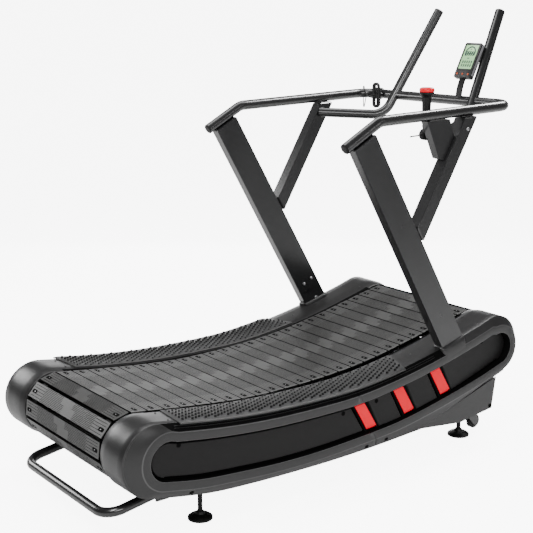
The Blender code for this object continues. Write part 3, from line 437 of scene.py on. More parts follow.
LEAD_R = 0.0022
LEAD_ROUTE = ((0.7375, 0.3800, 1.2750), (0.7378, 0.3830, 1.2640), (0.7400, 0.3890, 1.2490),
              (0.7430, 0.3950, 1.2385), (0.7480, 0.4030, 1.2335), (0.7530, 0.4110, 1.2385),
              (0.7565, 0.4160, 1.2500), (0.7575, 0.4175, 1.2700), (0.7555, 0.4165, 1.2920),
              (0.7485, 0.4100, 1.3130), (0.7390, 0.3970, 1.3215), (0.7260, 0.3790, 1.3190),
              (0.7185, 0.3640, 1.3030), (0.7240, 0.3530, 1.2830))
LEAD_END = ((0.7240, 0.2850, 1.3130), (0.7262, 0.2860, 1.3030), (0.7325, 0.2880, 1.2960),
            (0.7410, 0.2890, 1.2944))
WINDS, WIND_POINTS, WIND_START, WIND_STEP = 3.75, 14, 0.344, 0.0105
HANK_X, HANK_Y, HANK_Z = 0.7245, 0.302, 1.290
HANK_TURNS, LAYER_TURNS, HANK_STEP = 6, 3, 0.0050


def hank_turn(turn):
    """One turn of the hank: down on the low-y side, round, up and round again, as points of a stadium."""
    layer = turn // LAYER_TURNS
    half, reach = 0.0115 + HANK_STEP * layer, 0.0340
    shape = []
    for base, sign in ((180, -1), (0, 1)):
        shape += [(sign * half, sign * reach * share) for share in (-0.6, 0.0, 0.6)]
        for k in range(7):
            angle = math.radians(base + 180 * (k + 0.5) / 7)
            shape.append((half * math.cos(angle), half * math.sin(angle) + sign * reach))
    points = []
    for k, (y, z) in enumerate(shape):
        drift = (turn % LAYER_TURNS + k / len(shape) - LAYER_TURNS / 2) * HANK_STEP * (1 - 2 * layer)
        points.append((HANK_X + drift, HANK_Y + y, HANK_Z + z))
    return points


def make_lead():
    """Thin lead out of the handrail's corner, wound round the crossbar, the rest in a tied hank behind it."""
    points = list(LEAD_ROUTE)
    radius = TUBE_R + LEAD_R + 0.0010
    for k in range(int(WINDS * WIND_POINTS) + 1):
        angle = math.radians(-110) + 2 * math.pi * k / WIND_POINTS
        points.append((BAR_X + radius * math.cos(angle), WIND_START - WIND_STEP * k / WIND_POINTS,
                       BAR_Z + radius * math.sin(angle)))
    for turn in range(HANK_TURNS):
        points += hank_turn(turn)
    points += LEAD_END
    path = smooth_route(points, len(points) * 4)
    lead = tube_piece("lead", path, LEAD_R, CABLE, replaces=("sensor_lead", "sensor_lead_hank"),
                      resolution=3)
    ties = Pile()
    for z in (1.283, 1.291):
        rows = []
        for angle in ring_angles(24):
            out = Vector((0.0105 * math.cos(angle), 0.0205 * math.sin(angle), 0.0))
            skin, rise = out.normalized() * 0.001, Vector((0, 0, 0.002))
            middle = Vector((HANK_X, HANK_Y, z)) + out
            rows.append([middle + skin * u + rise * v for u, v in ((-1, 1), (1, 1), (1, -1), (-1, -1))])
        ties.add(*net(rows, wrap=True))
    ties.lathe([(0.0006, 0.0), (0.0011, 0.001), (0.0011, 0.044), (0.0006, 0.046)],
               (HANK_X - 0.010, HANK_Y - 0.010, 1.293), (-0.05, -0.15, 1.0), 6)
    tie = ties.piece("lead_tie", CABLE)


# --- Slat belt ----------------------------------------------------------------

SLAT_PITCH, SLAT_WIDTH, SLAT_HALF, SLAT_THICK = 0.0624, 0.0586, 0.2560, 0.0105
SLAT_PHASE = 0.30
LINE_EVERY, LINE_DEPTH, LINE_HALF = 0.0050, 0.0016, 0.0008
CHAMFER, END_SLOPE = 0.0012, 0.0002
PATCH, PATCH_STEP, FINE_END, LONG_END = 0.038, 0.013, 0.172, 0.2460


def slat_shape():
    """One slat lying along Y: top at z 0 and travel along +X, with lines cut along it and a plain patch
    stepped at mid-slat. The third value marks the faces coloured black as painted shade."""
    half = SLAT_WIDTH / 2
    stations, owner = [(-half, -CHAMFER), (-half + CHAMFER, 0.0)], {}
    for number in range(-5, 6):
        x = number * LINE_EVERY
        owner.update({len(stations) + k: number for k in (1, 2)})
        stations += [(x + LINE_HALF * share, 0.0) for share in (-1.0, -0.6, 0.6, 1.0)]
    stations += [(half - CHAMFER, 0.0), (half, -CHAMFER)]
    stops = {s * (SLAT_HALF - d) for s in (-1, 1) for d in (0.0, 0.0015)}
    changes = {s * v for s in (-1, 1) for v in (FINE_END, LONG_END)}
    changes |= {s * PATCH + t * PATCH_STEP for s in (-1, 1) for t in (-1, 1)}
    stops |= {change + e for change in changes for e in (-END_SLOPE, END_SLOPE)}
    rows = []
    for y in sorted(stops):
        end_drop = -CHAMFER if abs(y) >= SLAT_HALF else 0.0
        row = []
        for k, (x, z) in enumerate(stations):
            if k in owner:
                shift = PATCH_STEP if owner[k] > 0 else -PATCH_STEP
                reach = LONG_END if owner[k] % 2 == 0 else FINE_END
                z = -LINE_DEPTH if abs(y - shift) > PATCH and abs(y) < reach else 0.0
            row.append((x, y, min(z, end_drop)))
        rows.append(row)
    verts, faces = net(rows, closed=False)
    columns, base = len(stations), len(verts)
    # Cut lines, chamfers, ends and underside are marked for the black: painted shade.
    shade_faces = [sum(verts[v][2] < -LINE_DEPTH * 0.9 for v in quad) >= 2 or n % (columns - 1) in (0, columns - 2)
            for n, quad in enumerate(faces)]
    verts += [(x, y, -SLAT_THICK) for y in (-SLAT_HALF, SLAT_HALF) for x in (-half + 0.002, half - 0.002)]
    low, high = list(range(columns)), list(range(base - columns, base))
    rear, front = list(range(0, base, columns)), list(range(columns - 1, base, columns))
    walls = [tuple(low[::-1] + [base, base + 1]), tuple(high + [base + 3, base + 2]),
             tuple(rear + [base + 2, base]), tuple(front[::-1] + [base + 1, base + 3]),
             (base, base + 2, base + 3, base + 1)]
    return verts, faces + walls, shade_faces + [True] * len(walls)


def belt_path():
    """Closed line of the slats' undersides round both drums."""
    outer = band(smooth_line(BELT_LINE, 81), smooth_line(RETURN_LINE, 61), REAR_DRUM, FRONT_DRUM, 40)
    return inset(outer, 0.0122)


def along(path, distance):
    """Point at a distance along a closed path."""
    for a, b in zip(path, path[1:] + path[:1]):
        step = math.dist(a, b)
        if distance <= step:
            t = distance / step
            return (between(a[0], b[0], t), between(a[1], b[1], t))
        distance -= step
    return path[0]


def make_slats():
    """All slats as one belt, with black ovals near their ends as painted shade of small recesses, and the
    screws at their ends.
    """
    path = belt_path()
    total = sum(math.dist(a, b) for a, b in zip(path, path[1:] + path[:1]))
    count = round(total / SLAT_PITCH)
    pitch = total / count
    shape, shape_faces, shape_shade = slat_shape()
    slats, ovals, screws = Pile(), Pile(), Pile()
    dark = []
    for n in range(count):
        here = (n + SLAT_PHASE) * pitch
        rear, front = along(path, (here - 0.030) % total), along(path, (here + 0.030) % total)
        middle = along(path, here % total)
        run = Vector((front[0] - rear[0], 0.0, front[1] - rear[1])).normalized()
        up = Vector((-run.z, 0.0, run.x))
        turn = Matrix((run, Vector((0, 1, 0)), up)).transposed()
        chord = (Vector((rear[0], 0, rear[1])) + Vector((front[0], 0, front[1]))) / 2
        centre = Vector((middle[0], 0.0, middle[1])) * 0.65 + chord * 0.35
        top = centre + up * (SLAT_THICK + 0.0003)
        slats.add([turn @ Vector(v) + top for v in shape], shape_faces)
        dark += shape_shade
        for side in (-1, 1):
            # Black oval on the slat top: painted shade standing for a recess.
            rim = []
            for angle in ring_angles(18):
                stretch = 0.0095 if math.sin(angle) > 0 else -0.0095
                rim.append((-0.0040 + 0.0068 * math.cos(angle),
                            side * 0.2315 + stretch + 0.0058 * math.sin(angle)))
            rows = [[turn @ Vector((x, y, z)) + top for x, y in rim] for z in (0.0005, -0.0008)]
            ovals.add(*net(rows, ends=True, flip=True))
            screws.lathe([(0.0008, 0.0004), (0.0018, 0.0007), (0.0021, 0.0002), (0.0021, -0.0010)],
                         turn @ Vector((-0.0040, side * 0.2290, 0.0002)) + top, up, 10)
    belt = slats.piece("slats", SLAT, replaces=("slat_belt",), smooth=20)
    belt.data.materials.append(SHADE_BLACK)
    belt.data.polygons.foreach_set("material_index", [int(d) for d in dark])
    ovals.piece("slat_recess_shade", SHADE_BLACK)
    screws.piece("slat_screws", ZINC)


# --- Covers -------------------------------------------------------------------

def on_side(points, side):
    """Mirror of left-hand points for the right side."""
    return [(x, side * y, z) for x, y, z in points]


def sill_y(i, x):
    """How far outwards the sill lies: the lower bevel narrows along its straight part."""
    if LOW_START <= i < LOW_START + LINE_COUNT and x > SILL_LINE[-1][0]:
        return 0.0168 * (x - SILL_LINE[-1][0]) / (SILL_FRONT[0] - SILL_LINE[-1][0])
    return 0.0


PANEL_Y, FLOOR_Y = 0.4177, 0.4000
SLOPE_START, SLOPE = 0.415, 0.050


def sunk(x):
    """The recess gets deeper towards the front."""
    return max(x - SLOPE_START, 0.0) * SLOPE


def cover_rings():
    """Cross-section of the side cover from its deck flange to the floor of the recess."""
    y_edge = DECK_OUTER + 0.0004
    lift = [sill_y(i, x) for i, (x, z) in enumerate(OUTER)]
    rings = [[(x, y_edge + d, z) for (x, z), d in zip(inset(OUTER, 0.006), lift)]]
    for t in (0.0, 0.04, 0.5, 0.955):
        rings.append([(between(x0, x1, t), between(y_edge + d, RIM_OUTER, t), between(z0, z1, t))
                      for (x0, z0), (x1, z1), d in zip(OUTER, RIM, lift)])
    for depth, y in ((0.0008, RIM_OUTER - 0.0003), (0.0024, RIM_OUTER), (RIM_WIDTH - 0.0018, RIM_OUTER),
                     (RIM_WIDTH - 0.0005, RIM_OUTER - 0.0004), (RIM_WIDTH, RIM_OUTER - 0.0016),
                     (RIM_WIDTH + 0.0012, FLOOR_Y + 0.002), (RIM_WIDTH + 0.0030, FLOOR_Y)):
        rings.append([(x, y - (sunk(x) if y < RIM_OUTER - 0.01 else 0.0), z) for x, z in inset(RIM, depth)])
    return rings


def make_side_cover(side, tag):
    """Bevelled cover with its recess, cut in two at the seam; the thin bright strips stand for highlights,
    and the black top bevel, recess wall and recess floor are painted shade.
    """
    rings = cover_rings()
    count, top, low_end = len(OUTER), LINE_COUNT, LOW_START + LINE_COUNT
    low, high = (Vector((x, 0, z)) for x, z in SEAM[::-1])
    normal = Vector((0.0, 1.0, 0.0)).cross(high - low).normalized()
    for name, keep_front in (("rear", False), ("front", True)):
        bm = bmesh.new()
        rows = [[bm.verts.new(p) for p in on_side(ring, side)] for ring in rings]
        for number, (a, b) in enumerate(zip(rows, rows[1:])):
            for i in range(count):
                j = (i + 1) % count
                quad = (a[i], a[j], b[j], b[i])
                face = bm.faces.new(quad if side > 0 else quad[::-1])
                # Painted light on the cover: the fillet strips (4, 5, 7, 8) take the pale grey as painted
                # highlight, while the top bevel before the upright (1 to 3) and the recess wall (past 8) take
                # the black as painted shade.
                shaded = number in (1, 2, 3) and i < top and OUTER[i][0] < 0.41
                face.material_index = 1 if number > 8 or shaded else 2 if number in (4, 5, 7, 8) else 0
        inner = rows[-1]
        upper, lower = inner[:top], inner[LOW_START:low_end][::-1]
        floor = list(zip(upper, upper[1:], lower[1:], lower))
        floor += [tuple(inner[top - 1:LOW_START + 1]), tuple(inner[low_end - 1:] + [inner[0]])]
        # The recess floor is coloured black as painted shade.
        for loop in floor:
            bm.faces.new(loop if side > 0 else loop[::-1]).material_index = 1
        offset = normal * (0.00004 if keep_front else -0.00004)
        bmesh.ops.bisect_plane(bm, geom=bm.verts[:] + bm.edges[:] + bm.faces[:], plane_co=low + offset,
                               plane_no=normal, clear_inner=keep_front, clear_outer=not keep_front)
        mesh = bpy.data.meshes.new(f"side_shell_{name}_{tag}")
        bm.to_mesh(mesh)
        bm.free()
        for mat in (PLASTIC, SHADE_BLACK, HIGHLIGHT_GREY):
            mesh.materials.append(mat)
        mesh.shade_smooth()
        mesh.set_sharp_from_angle(angle=math.radians(27))
        shell = bpy.data.objects.new(f"side_shell_{name}_{tag}", mesh)
        thicken(shell, 0.0024)
        settle(shell, None, replaces=(f"side_cover_{name}_{tag}",))


def thicken(shell, thickness):
    solid = shell.modifiers.new("shell", "SOLIDIFY")
    solid.thickness = thickness
    solid.offset = -1.0


def soft_corners(points, radius, steps=5):
    """Closed outline with every corner rounded."""
    loop = []
    count = len(points)
    for i in range(count):
        here = Vector(points[i])
        before, after = Vector(points[i - 1]), Vector(points[(i + 1) % count])
        a, b = before - here, after - here
        reach = min(radius, a.length * 0.45, b.length * 0.45)
        if a.angle(b) > math.radians(165):
            loop.append(tuple(here))
            continue
        start, end = here + a.normalized() * reach, here + b.normalized() * reach
        for k in range(steps + 1):
            t = k / steps
            loop.append(tuple(start * (1 - t) ** 2 + here * 2 * t * (1 - t) + end * t ** 2))
    return loop


PANEL_HALF, PANEL_EDGE, SLOT_GROW, LOW_GAP = 0.0085, 0.0028, 0.0160, 0.004


def make_side_panels(side, tag):
    """Raised panels between the slots."""
    inner, tight = inset(RIM, RIM_WIDTH + 0.0035), inset(RIM, RIM_WIDTH + 0.0095)
    top, low = split_lines(inner)
    rear_top, rear_low = split_lines(tight)

    def run(line, x0, x1, lift, steps=24):
        stations = [between(x0, x1, k / steps) for k in range(steps + 1)]
        return [(x, height(line, x) + lift) for x in stations]

    def slots(grow):
        return [(x + grow, x + ACCENT_LEAN + grow) for x in ACCENT_X]

    starts, ends = slots(-SLOT_GROW), slots(ACCENT_WIDTH + SLOT_GROW)
    outlines = [run(rear_top, rear_top[0][0], starts[0][0], 0.0)
                + run(rear_low, rear_low[0][0], starts[0][1], LOW_GAP)[::-1] + tight[LOW_START + LINE_COUNT:]]
    for (t0, l0), (t1, l1) in zip(ends, starts[1:]):
        outlines.append(run(top, t0, t1, -0.001) + run(low, l0, l1, LOW_GAP)[::-1])
    t0, l0 = ends[-1]
    outlines.append(run(top, t0, top[-1][0], -0.001) + inner[LINE_COUNT:LOW_START]
                    + run(low, l0, low[-1][0], LOW_GAP)[::-1])
    for number, loop in enumerate(outlines, start=1):
        panel = plate_piece(f"side_panel_{number}_{tag}", soft_corners(loop, 0.008), PANEL)
        angle = side * -math.atan(SLOPE) if number == len(outlines) else 0.0
        pivot = Matrix.Translation((SLOPE_START, side * (PANEL_Y - PANEL_HALF), 0.0))
        upright = Matrix.Translation((-SLOPE_START, 0.0, 0.0)) @ Matrix.Rotation(math.pi / 2, 4, "X")
        panel.matrix_world = pivot @ Matrix.Rotation(angle, 4, "Z") @ upright
        settle(panel, None)


def make_accent_bars(side, tag):
    """The three red bars in the slots, each with a black sheet before and behind it as painted shade in the
    slot.
    """
    top, low = split_lines(inset(RIM, RIM_WIDTH + 0.0035))
    bars, slot_shades = Pile(), Pile()
    for x in ACCENT_X:
        x_low = x + ACCENT_LEAN
        face = [(x, height(top, x) - 0.004), (x + ACCENT_WIDTH, height(top, x + ACCENT_WIDTH) - 0.004),
                (x_low + ACCENT_WIDTH - 0.004, height(low, x_low + ACCENT_WIDTH) + 0.020),
                (x_low - 0.006, height(low, x_low) + 0.020)]
        spread = ((-0.0015, 0.0008), (0.0015, 0.0008), (0.0062, -0.0105), (0.0052, -0.0105))
        foot = [(a + u, b + v) for (a, b), (u, v) in zip(face, spread)]
        mid = [(between(a, c, 0.18), between(b, d, 0.18)) for (a, b), (c, d) in zip(face, foot)]
        sections = [(face, 0.4218), (mid, 0.4212), (foot, 0.4160), (foot, FLOOR_Y + 0.0004)]
        bars.add(*net([[(px, side * y, pz) for px, pz in ring] for ring, y in sections], ends=True))
        # Black sheets in the slot on either side of the bar: painted shade of the slot walls.
        for near, far in ((-0.009, 0.002), (ACCENT_WIDTH - 0.002, ACCENT_WIDTH + 0.013)):
            outline = [(x + near, height(top, x + near) - 0.001), (x + far, height(top, x + far) - 0.001),
                       (x_low + far, height(low, x_low + far) + 0.004),
                       (x_low + near, height(low, x_low + near) + 0.004)]
            depths = (PANEL_Y + 0.0006, PANEL_Y - 0.0150)
            slot_shades.add(*net([[(px, side * y, pz) for px, pz in outline] for y in depths], ends=True))
    fix_normals(slot_shades.piece(f"bar_slot_shade_{tag}", SHADE_BLACK))
    piece = bars.piece(f"accent_bars_{tag}", RED, replaces=(f"accent_strip_{tag}",),
                       smooth=None)
    fix_normals(piece)
    round_bars = piece.modifiers.new("edges", "BEVEL")
    round_bars.width = 0.0007
    round_bars.segments = 2


def make_panel_screws(side, tag):
    """Screw holes in the panels, the lower bevel and the skirt, drawn as low black caps: painted shade of the
    holes.
    """
    dots = Pile()
    cap = [(0.0040, 0.0002), (0.0066, 0.0004), (0.0078, 0.0009), (0.0082, 0.0), (0.0082, -0.002)]
    for x, z in ((-0.753, 0.318), (-0.070, 0.268), (0.087, 0.280), (0.642, 0.396)):
        dots.lathe(cap, (x, side * (PANEL_Y - sunk(x)), z), (0, side, 0), 20)
    sill, rim_low = split_lines(OUTER)[1], split_lines(RIM)[1]
    for x, z in ((-0.708, 0.147), (0.044, 0.117), (0.139, 0.123)):
        z0, z1 = height(sill, x), height(rim_low, x)
        wide = RIM_OUTER - DECK_OUTER
        dots.lathe(cap, (x, side * (DECK_OUTER + 0.0004 + wide * (z - z0) / (z1 - z0)), z),
                   (0, side * (z1 - z0), -wide), 20)
    dots.lathe(cap, (0.684, side * 0.4290, 0.134), (0.0, side, 0.0), 20)
    dots.piece(f"screw_hole_shade_{tag}", SHADE_BLACK)


def make_deck_cover(side, tag):
    """Deck cover from its flank beside the slats out to the side cover, with its screws; the flank and its
    rounded edge beside the slats are coloured black as painted shade.
    """
    wrap = OUTER[LOW_START + LINE_COUNT - 4:] + OUTER[:LOW_START + 4]
    section = [(DECK_INNER, 0.0170), (DECK_INNER, 0.0085), (DECK_INNER + 0.0006, 0.0072),
               (DECK_INNER + 0.0022, 0.0064), (0.280, 0.0038), (0.292, 0.0014), (0.302, 0.0), (0.340, 0.0),
               (0.380, 0.0), (DECK_OUTER - 0.0012, 0.0), (DECK_OUTER, 0.0008)]
    rows = []
    for y, depth in section:
        line = [wrap[0]] + inset(wrap, depth)[1:-1] + [wrap[-1]]
        rows.append([(x, side * y, z) for x, z in line])
    cover = mesh_piece(f"deck_shell_{tag}", *net(rows, closed=False, flip=side < 0), PLASTIC,
                       replaces=(f"deck_cover_{tag}",), smooth=40)
    cover.data.materials.append(SHADE_BLACK)
    # Faces beside the slats get the black: painted shade on the flank.
    for face in cover.data.polygons:
        x, y, z = face.center
        face.material_index = int(abs(y) < 0.283 and -0.80 < x < 0.66 and z > 0.30)
    thicken(cover, 0.003)

    screws = Pile()
    for x, y in ((-0.766, 0.303), (-0.766, 0.379), (0.318, 0.348), (0.630, 0.389), (0.650, 0.300)):
        screws.screw_head((x, side * y, height(DECK, x)), (-0.15, 0.0, 1.0), 0.0034)
    screws.piece(f"deck_screws_{tag}", HIGHLIGHT_GREY)


def make_gap_shade(side, tag):
    """Black strip under the gap between each deck cover and the slat ends: painted shade in the gap."""
    corners = ((0.2580, -0.0175), (0.2672, -0.0175), (0.2672, -0.0160), (0.2580, -0.0160))
    stations = [between(-0.790, 0.650, k / 60) for k in range(61)]
    rows = [[(x, side * y, height(DECK, x) + z) for y, z in corners] for x in stations]
    fix_normals(mesh_piece(f"gap_shade_strip_{tag}", *net(rows, ends=True), SHADE_BLACK, slot="moulded_plastic"))


GRIP_INNER, GRIP_OUTER = 0.284, 0.428
GRIP_ENDS = ((-0.736, 0.269), (-0.751, 0.219))


def grip_span(across):
    """Rear and front end of the pad, at a share of the way from its inner to its outer edge."""
    return [between(inner, outer, across) for inner, outer in zip(*GRIP_ENDS)]


def make_grip(side, tag):
    """Studded rubber pad beside the belt, with slanted ends and a rounded overhanging edge."""
    lines = 60
    section = [(0.0, -0.0040), (0.0, 0.0020), (0.012, 0.0030), (0.05, 0.0048), (0.14, 0.0060), (0.50, 0.0060),
               (0.965, 0.0060), (0.985, 0.0054), (1.0, 0.0036), (1.0, 0.0016), (0.99, -0.0020),
               (0.97, -0.0020), (0.86, 0.0008)]
    rows = []
    for across, lift in section:
        x0, x1 = grip_span(across)
        y = side * between(GRIP_INNER, GRIP_OUTER, across)
        row = []
        for k in range(lines + 1):
            x = between(x0, x1, k / lines)
            fall = 0.0030 if lift > 0.003 and k in (0, lines) else 0.0
            row.append((x, y, height(DECK, x) + lift - fall))
        rows.append(row)
    verts, faces = net(rows, closed=False, wrap=True, flip=side < 0)
    rear = tuple(range(0, len(verts), lines + 1))
    front = tuple(i + lines for i in rear)
    faces += [rear, front[::-1]] if side > 0 else [rear[::-1], front]
    mesh_piece(f"grip_pad_{tag}", verts, faces, GRIP, replaces=(f"foot_grip_{tag}",), smooth=40)

    studs = Pile()
    column_step, across_step, stagger = 0.0175, 0.0214, 0.0085
    for column in range(58):
        first = (column * stagger) % across_step
        for row in range(7):
            y = GRIP_OUTER - 0.0165 - row * across_step - first
            share = (y - GRIP_INNER) / (GRIP_OUTER - GRIP_INNER)
            x0, x1 = grip_span(share)
            x = -0.738 - (y - GRIP_INNER) * 0.06 + column * column_step
            if share < 0.05 or not x0 + 0.010 < x < x1 - 0.010:
                continue
            size, rise = 0.0030 + 0.0015 * share, 0.0034 + 0.0048 * share
            slope = (height(DECK, x + 0.01) - height(DECK, x - 0.01)) / 0.02
            studs.lathe([(size * 0.45, rise), (size * 0.80, rise * 0.94), (size * 0.98, rise * 0.70),
                         (size * 1.12, -0.001)], (x, side * y, height(DECK, x) + 0.0058), (-slope, 0, 1), 10)
    studs.piece(f"grip_studs_{tag}", STUD_SHADE, smooth=50)


def make_groove_trim(side, tag):
    """Dark double line along the bevel under the pad's outer edge."""
    for number, share in enumerate((0.34, 0.56), start=1):
        path = []
        for k in range(61):
            x = between(-0.770, 0.372, k / 60)
            path.append((x, side * (DECK_OUTER + 0.020 * share + 0.0006),
                         height(DECK, x) - BEVEL_DROP * share + 0.0004))
        tube_piece(f"bevel_line_{number}_{tag}", path, 0.0014, DARK, resolution=2)


# --- Handrail frame -----------------------------------------------------------

def end_plug(name, at, axis, replaced):
    """Domed plug in a tube's open end."""
    plug = Pile()
    plug.lathe([(0.010, 0.0043), (0.0165, 0.0036), (0.0190, 0.0016), (0.0190, 0.0)],
               at + axis.normalized() * 0.0002, axis, 28)
    plug.piece(name, DARK, replaces=(replaced,), smooth=50)


def make_rails():
    """Handrail with its crossbar, and the two horns, with their end plugs."""
    rear, bend, bar = (-0.0644, 1.1906), (0.089, 1.273), (BAR_X, BAR_Z)
    corners = [(x, RAIL_Y, z) for x, z in (rear, bend, bar)] + [(x, -RAIL_Y, z) for x, z in (bar, bend, rear)]
    tube_piece("handrail_tube", rounded_path(corners, (0.075, 0.070, 0.070, 0.075)), TUBE_R, PAINT,
               replaces=("handrail",))
    start, corner = Vector((0.484, 0.3748, 1.2270)), Vector((0.702, 0.2270, 1.2150))
    root, top = start + (start - corner).normalized() * 0.010, Vector((0.940, 0.1648, 1.6330))
    for side, tag in SIDES:
        flip = Vector((1, side, 1))
        path = rounded_path((root * flip, corner * flip, top * flip), (0.085,), 20)
        tube_piece(f"horn_tube_{tag}", path, TUBE_R, PAINT, replaces=(f"horn_{tag}",))
        end_plug(f"horn_plug_{tag}", top * flip, (top - corner) * flip, f"horn_end_plug_{tag}")
        end_plug(f"rail_plug_{tag}", Vector((rear[0], side * RAIL_Y, rear[1])),
                 Vector((rear[0] - bend[0], 0, rear[1] - bend[1])), f"rail_end_plug_{tag}")


def make_lift_handle():
    """Bent tube at the rear by which the machine is tipped onto its wheels."""
    arm = ((-0.6400, 0.1235), (-0.780, 0.110), (-0.945, 0.083))
    corners = [(x, 0.288, z) for x, z in arm] + [(x, -0.288, z) for x, z in arm[::-1]]
    tube_piece("lift_handle_tube", rounded_path(corners, (0.200, 0.062, 0.062, 0.200)), 0.0163, PAINT,
               replaces=("lift_handle",))


def make_drum_tubes():
    """Plain tube between the two pulleys of each drum."""
    for name, (x, z) in (("rear", REAR_DRUM), ("front", FRONT_DRUM)):
        core = Pile()
        core.lathe([(0.030, 0.0), (0.062, 0.0), (0.064, 0.002), (0.064, 0.398), (0.062, 0.400),
                    (0.030, 0.400)], (x, -0.200, z), (0, 1, 0), 40)
        core.piece(f"{name}_drum_tube", BOLT, f"{name}_drum", "machined_steel", smooth=40)


def make_handle_lugs():
    """Bolted lugs that hold the lift handle's arms under the covers."""
    lugs, bolts = Pile(), Pile()
    for side in (1, -1):
        place = Matrix.Translation((-0.748, side * 0.306, 0.116))
        lugs.add(*rounded_slab(place, -0.024, 0.024, 0.006, -0.024, 0.016, 0.004, 0.0012))
        bolts.lathe([(0.0020, 0.006), (0.0070, 0.005), (0.0078, 0.004), (0.0078, 0.0)],
                    (-0.754, side * 0.312, 0.104), (0, side, 0), 6)
    fix_normals(lugs.piece("handle_lugs", PAINT))
    bolts.piece("handle_bolts", BOLT, smooth=25)


def weld_ring(pile, centre, axis, radius, size=0.0024):
    """Rounded, slightly wavy weld bead as a ring around an axis."""
    turn = Vector(axis).to_track_quat("Z", "Y").to_matrix()
    rows = []
    for a in ring_angles(40):
        wave = size * (1 + 0.18 * math.sin(a * 17))
        section = [(radius + wave * math.cos(b), wave * math.sin(b)) for b in ring_angles(6)]
        rows.append([turn @ Vector((reach * math.cos(a), reach * math.sin(a), h)) + Vector(centre)
                     for reach, h in section])
    pile.add(*net(rows, wrap=True, flip=True))


def make_skirt_seals():
    """Dark lip that closes the joint between the cover's straight sill and the skirt below it."""
    x0, z0, x1, z1 = 0.330, 0.1150, 0.708, 0.2500
    outline = ((x0, z0 + 0.012), (x1, z1 + 0.012), (x1, z1 - 0.024), (x0, z0 - 0.006))
    for side, tag in SIDES:
        rows = [[(x, side * (y + 0.022 * (x - x0) / (x1 - x0)), z) for x, z in outline]
                for y in (0.3925, 0.3985)]
        fix_normals(mesh_piece(f"skirt_seal_{tag}", *net(rows, ends=True), DARK))


def make_frame_details():
    """Bolts of uprights and struts, lock nuts of the feet, and the weld beads of the horns."""
    bolts, nuts, welds = Pile(), Pile(), Pile()
    for side in (1, -1):
        for x, z in ((0.444, 0.527), (0.405, 0.507), (0.471, 0.439)):
            bolts.screw_head((x, side * (RAIL_Y - 0.0190), z), (0, -side, 0), 0.0075)
        bolts.screw_head((0.499, side * 0.4252, 1.224), (0, side, 0), 0.0075)
        for z in (0.526, 0.440):
            bolts.screw_head((0.3126 - 0.5915 * (z - 0.8), side * RAIL_Y, z), (0.861, 0, 0.509), 0.0075)
        for x, z in ((-0.617, 0.094), (0.616, 0.114)):
            nuts.lathe([(0.0095, 0.011), (0.0138, 0.009), (0.0142, 0.002), (0.0135, 0.0)],
                       (x, side * 0.330, z), (0, 0, 1), 6)
        weld_ring(welds, (0.4878, side * 0.3722, 1.2268), (0.1, -side, 0), 0.0190)
    bolts.piece("frame_bolts", ZINC)
    nuts.piece("foot_lock_nuts", BOLT, smooth=25)
    welds.piece("weld_beads", PAINT, smooth=60)


def make_collars():
    """Moulded collar where each upright passes into the covers."""
    middle = 0.4725
    rings = ((0.000, -0.014), (0.0125, -0.014), (0.0120, 0.004), (0.0105, 0.0085), (0.0070, 0.0110),
             (0.0012, 0.0115), (0.0004, 0.004), (0.0004, -0.010))
    for side, tag in SIDES:
        rows = []
        for grow, lift in rings:
            row = []
            for u, v in rounded_rectangle(0.0595 + grow, 0.0190 + grow, 0.010 + grow):
                x, y = middle + u, RAIL_Y + v
                z = height(DECK, x) + lift
                drift = -0.589 * (z - height(DECK, middle))
                over = max(y - DECK_OUTER, 0.0) * (1 if lift > -0.012 else 2)
                row.append((x + drift, side * y, z - over * 0.55))
            rows.append(row)
        points, faces = net(rows, wrap=True, flip=side < 0)
        fix_normals(mesh_piece(f"upright_collar_{tag}", points, faces, PLASTIC, smooth=40))


# --- Controls -----------------------------------------------------------------

def make_lever():
    """Resistance lever: red knob, collar, arm, hub and side rod, with the hub's bolts."""
    top = Vector((HUB[0] + 0.003, HUB[1], 1.354))
    knob, arm, bolt = Pile(), Pile(), Pile()
    knob.lathe([(0.0120, 0.0205), (0.0195, 0.0200), (0.0245, 0.0178), (0.0268, 0.0140), (0.0270, 0.0080),
                (0.0262, 0.0048), (0.0240, 0.0040)], top, (0, 0, 1), 40)
    knob.piece("knob_cap", KNOB_RED, "lever", "red_plastic", ("lever_knob",), 50)
    arm.lathe([(0.0235, 0.0040), (0.0262, 0.0030), (0.0262, -0.0030), (0.0215, -0.0090), (0.0185, -0.0140)],
              top, (0, 0, 1), 40)
    arm.lathe([(0.0182, -0.012), (0.0165, -0.060), (0.0140, -0.110), (0.0128, -0.138)], top, (0, 0, 1), 8,
              math.pi / 8)
    arm.lathe([(0.0150, 0.0125), (0.0195, 0.0115), (0.0202, 0.0095), (0.0202, -0.0095), (0.0195, -0.0115)],
              HUB, (0, -1, 0), 36)
    arm.lathe([(0.0012, 0.0), (0.0026, 0.002), (0.0026, 0.058), (0.0042, 0.062), (0.0060, 0.074)],
              (HUB[0] - 0.074, HUB[1], HUB[2] - 0.003), (1, 0, 0.04), 12)
    arm.piece("lever_body", DARK, "lever", "black_plastic", ("lever_arm",), 30)
    bolt.screw_head((HUB[0], HUB[1] + 0.0125, HUB[2]), (0, 1, 0), 0.0075)
    bolt.screw_head((HUB[0] - 0.002, HUB[1] + 0.011, HUB[2] + 0.030), (0, 1, 0), 0.0035)
    bolt.piece("lever_bolt", ZINC, "lever", "machined_steel")


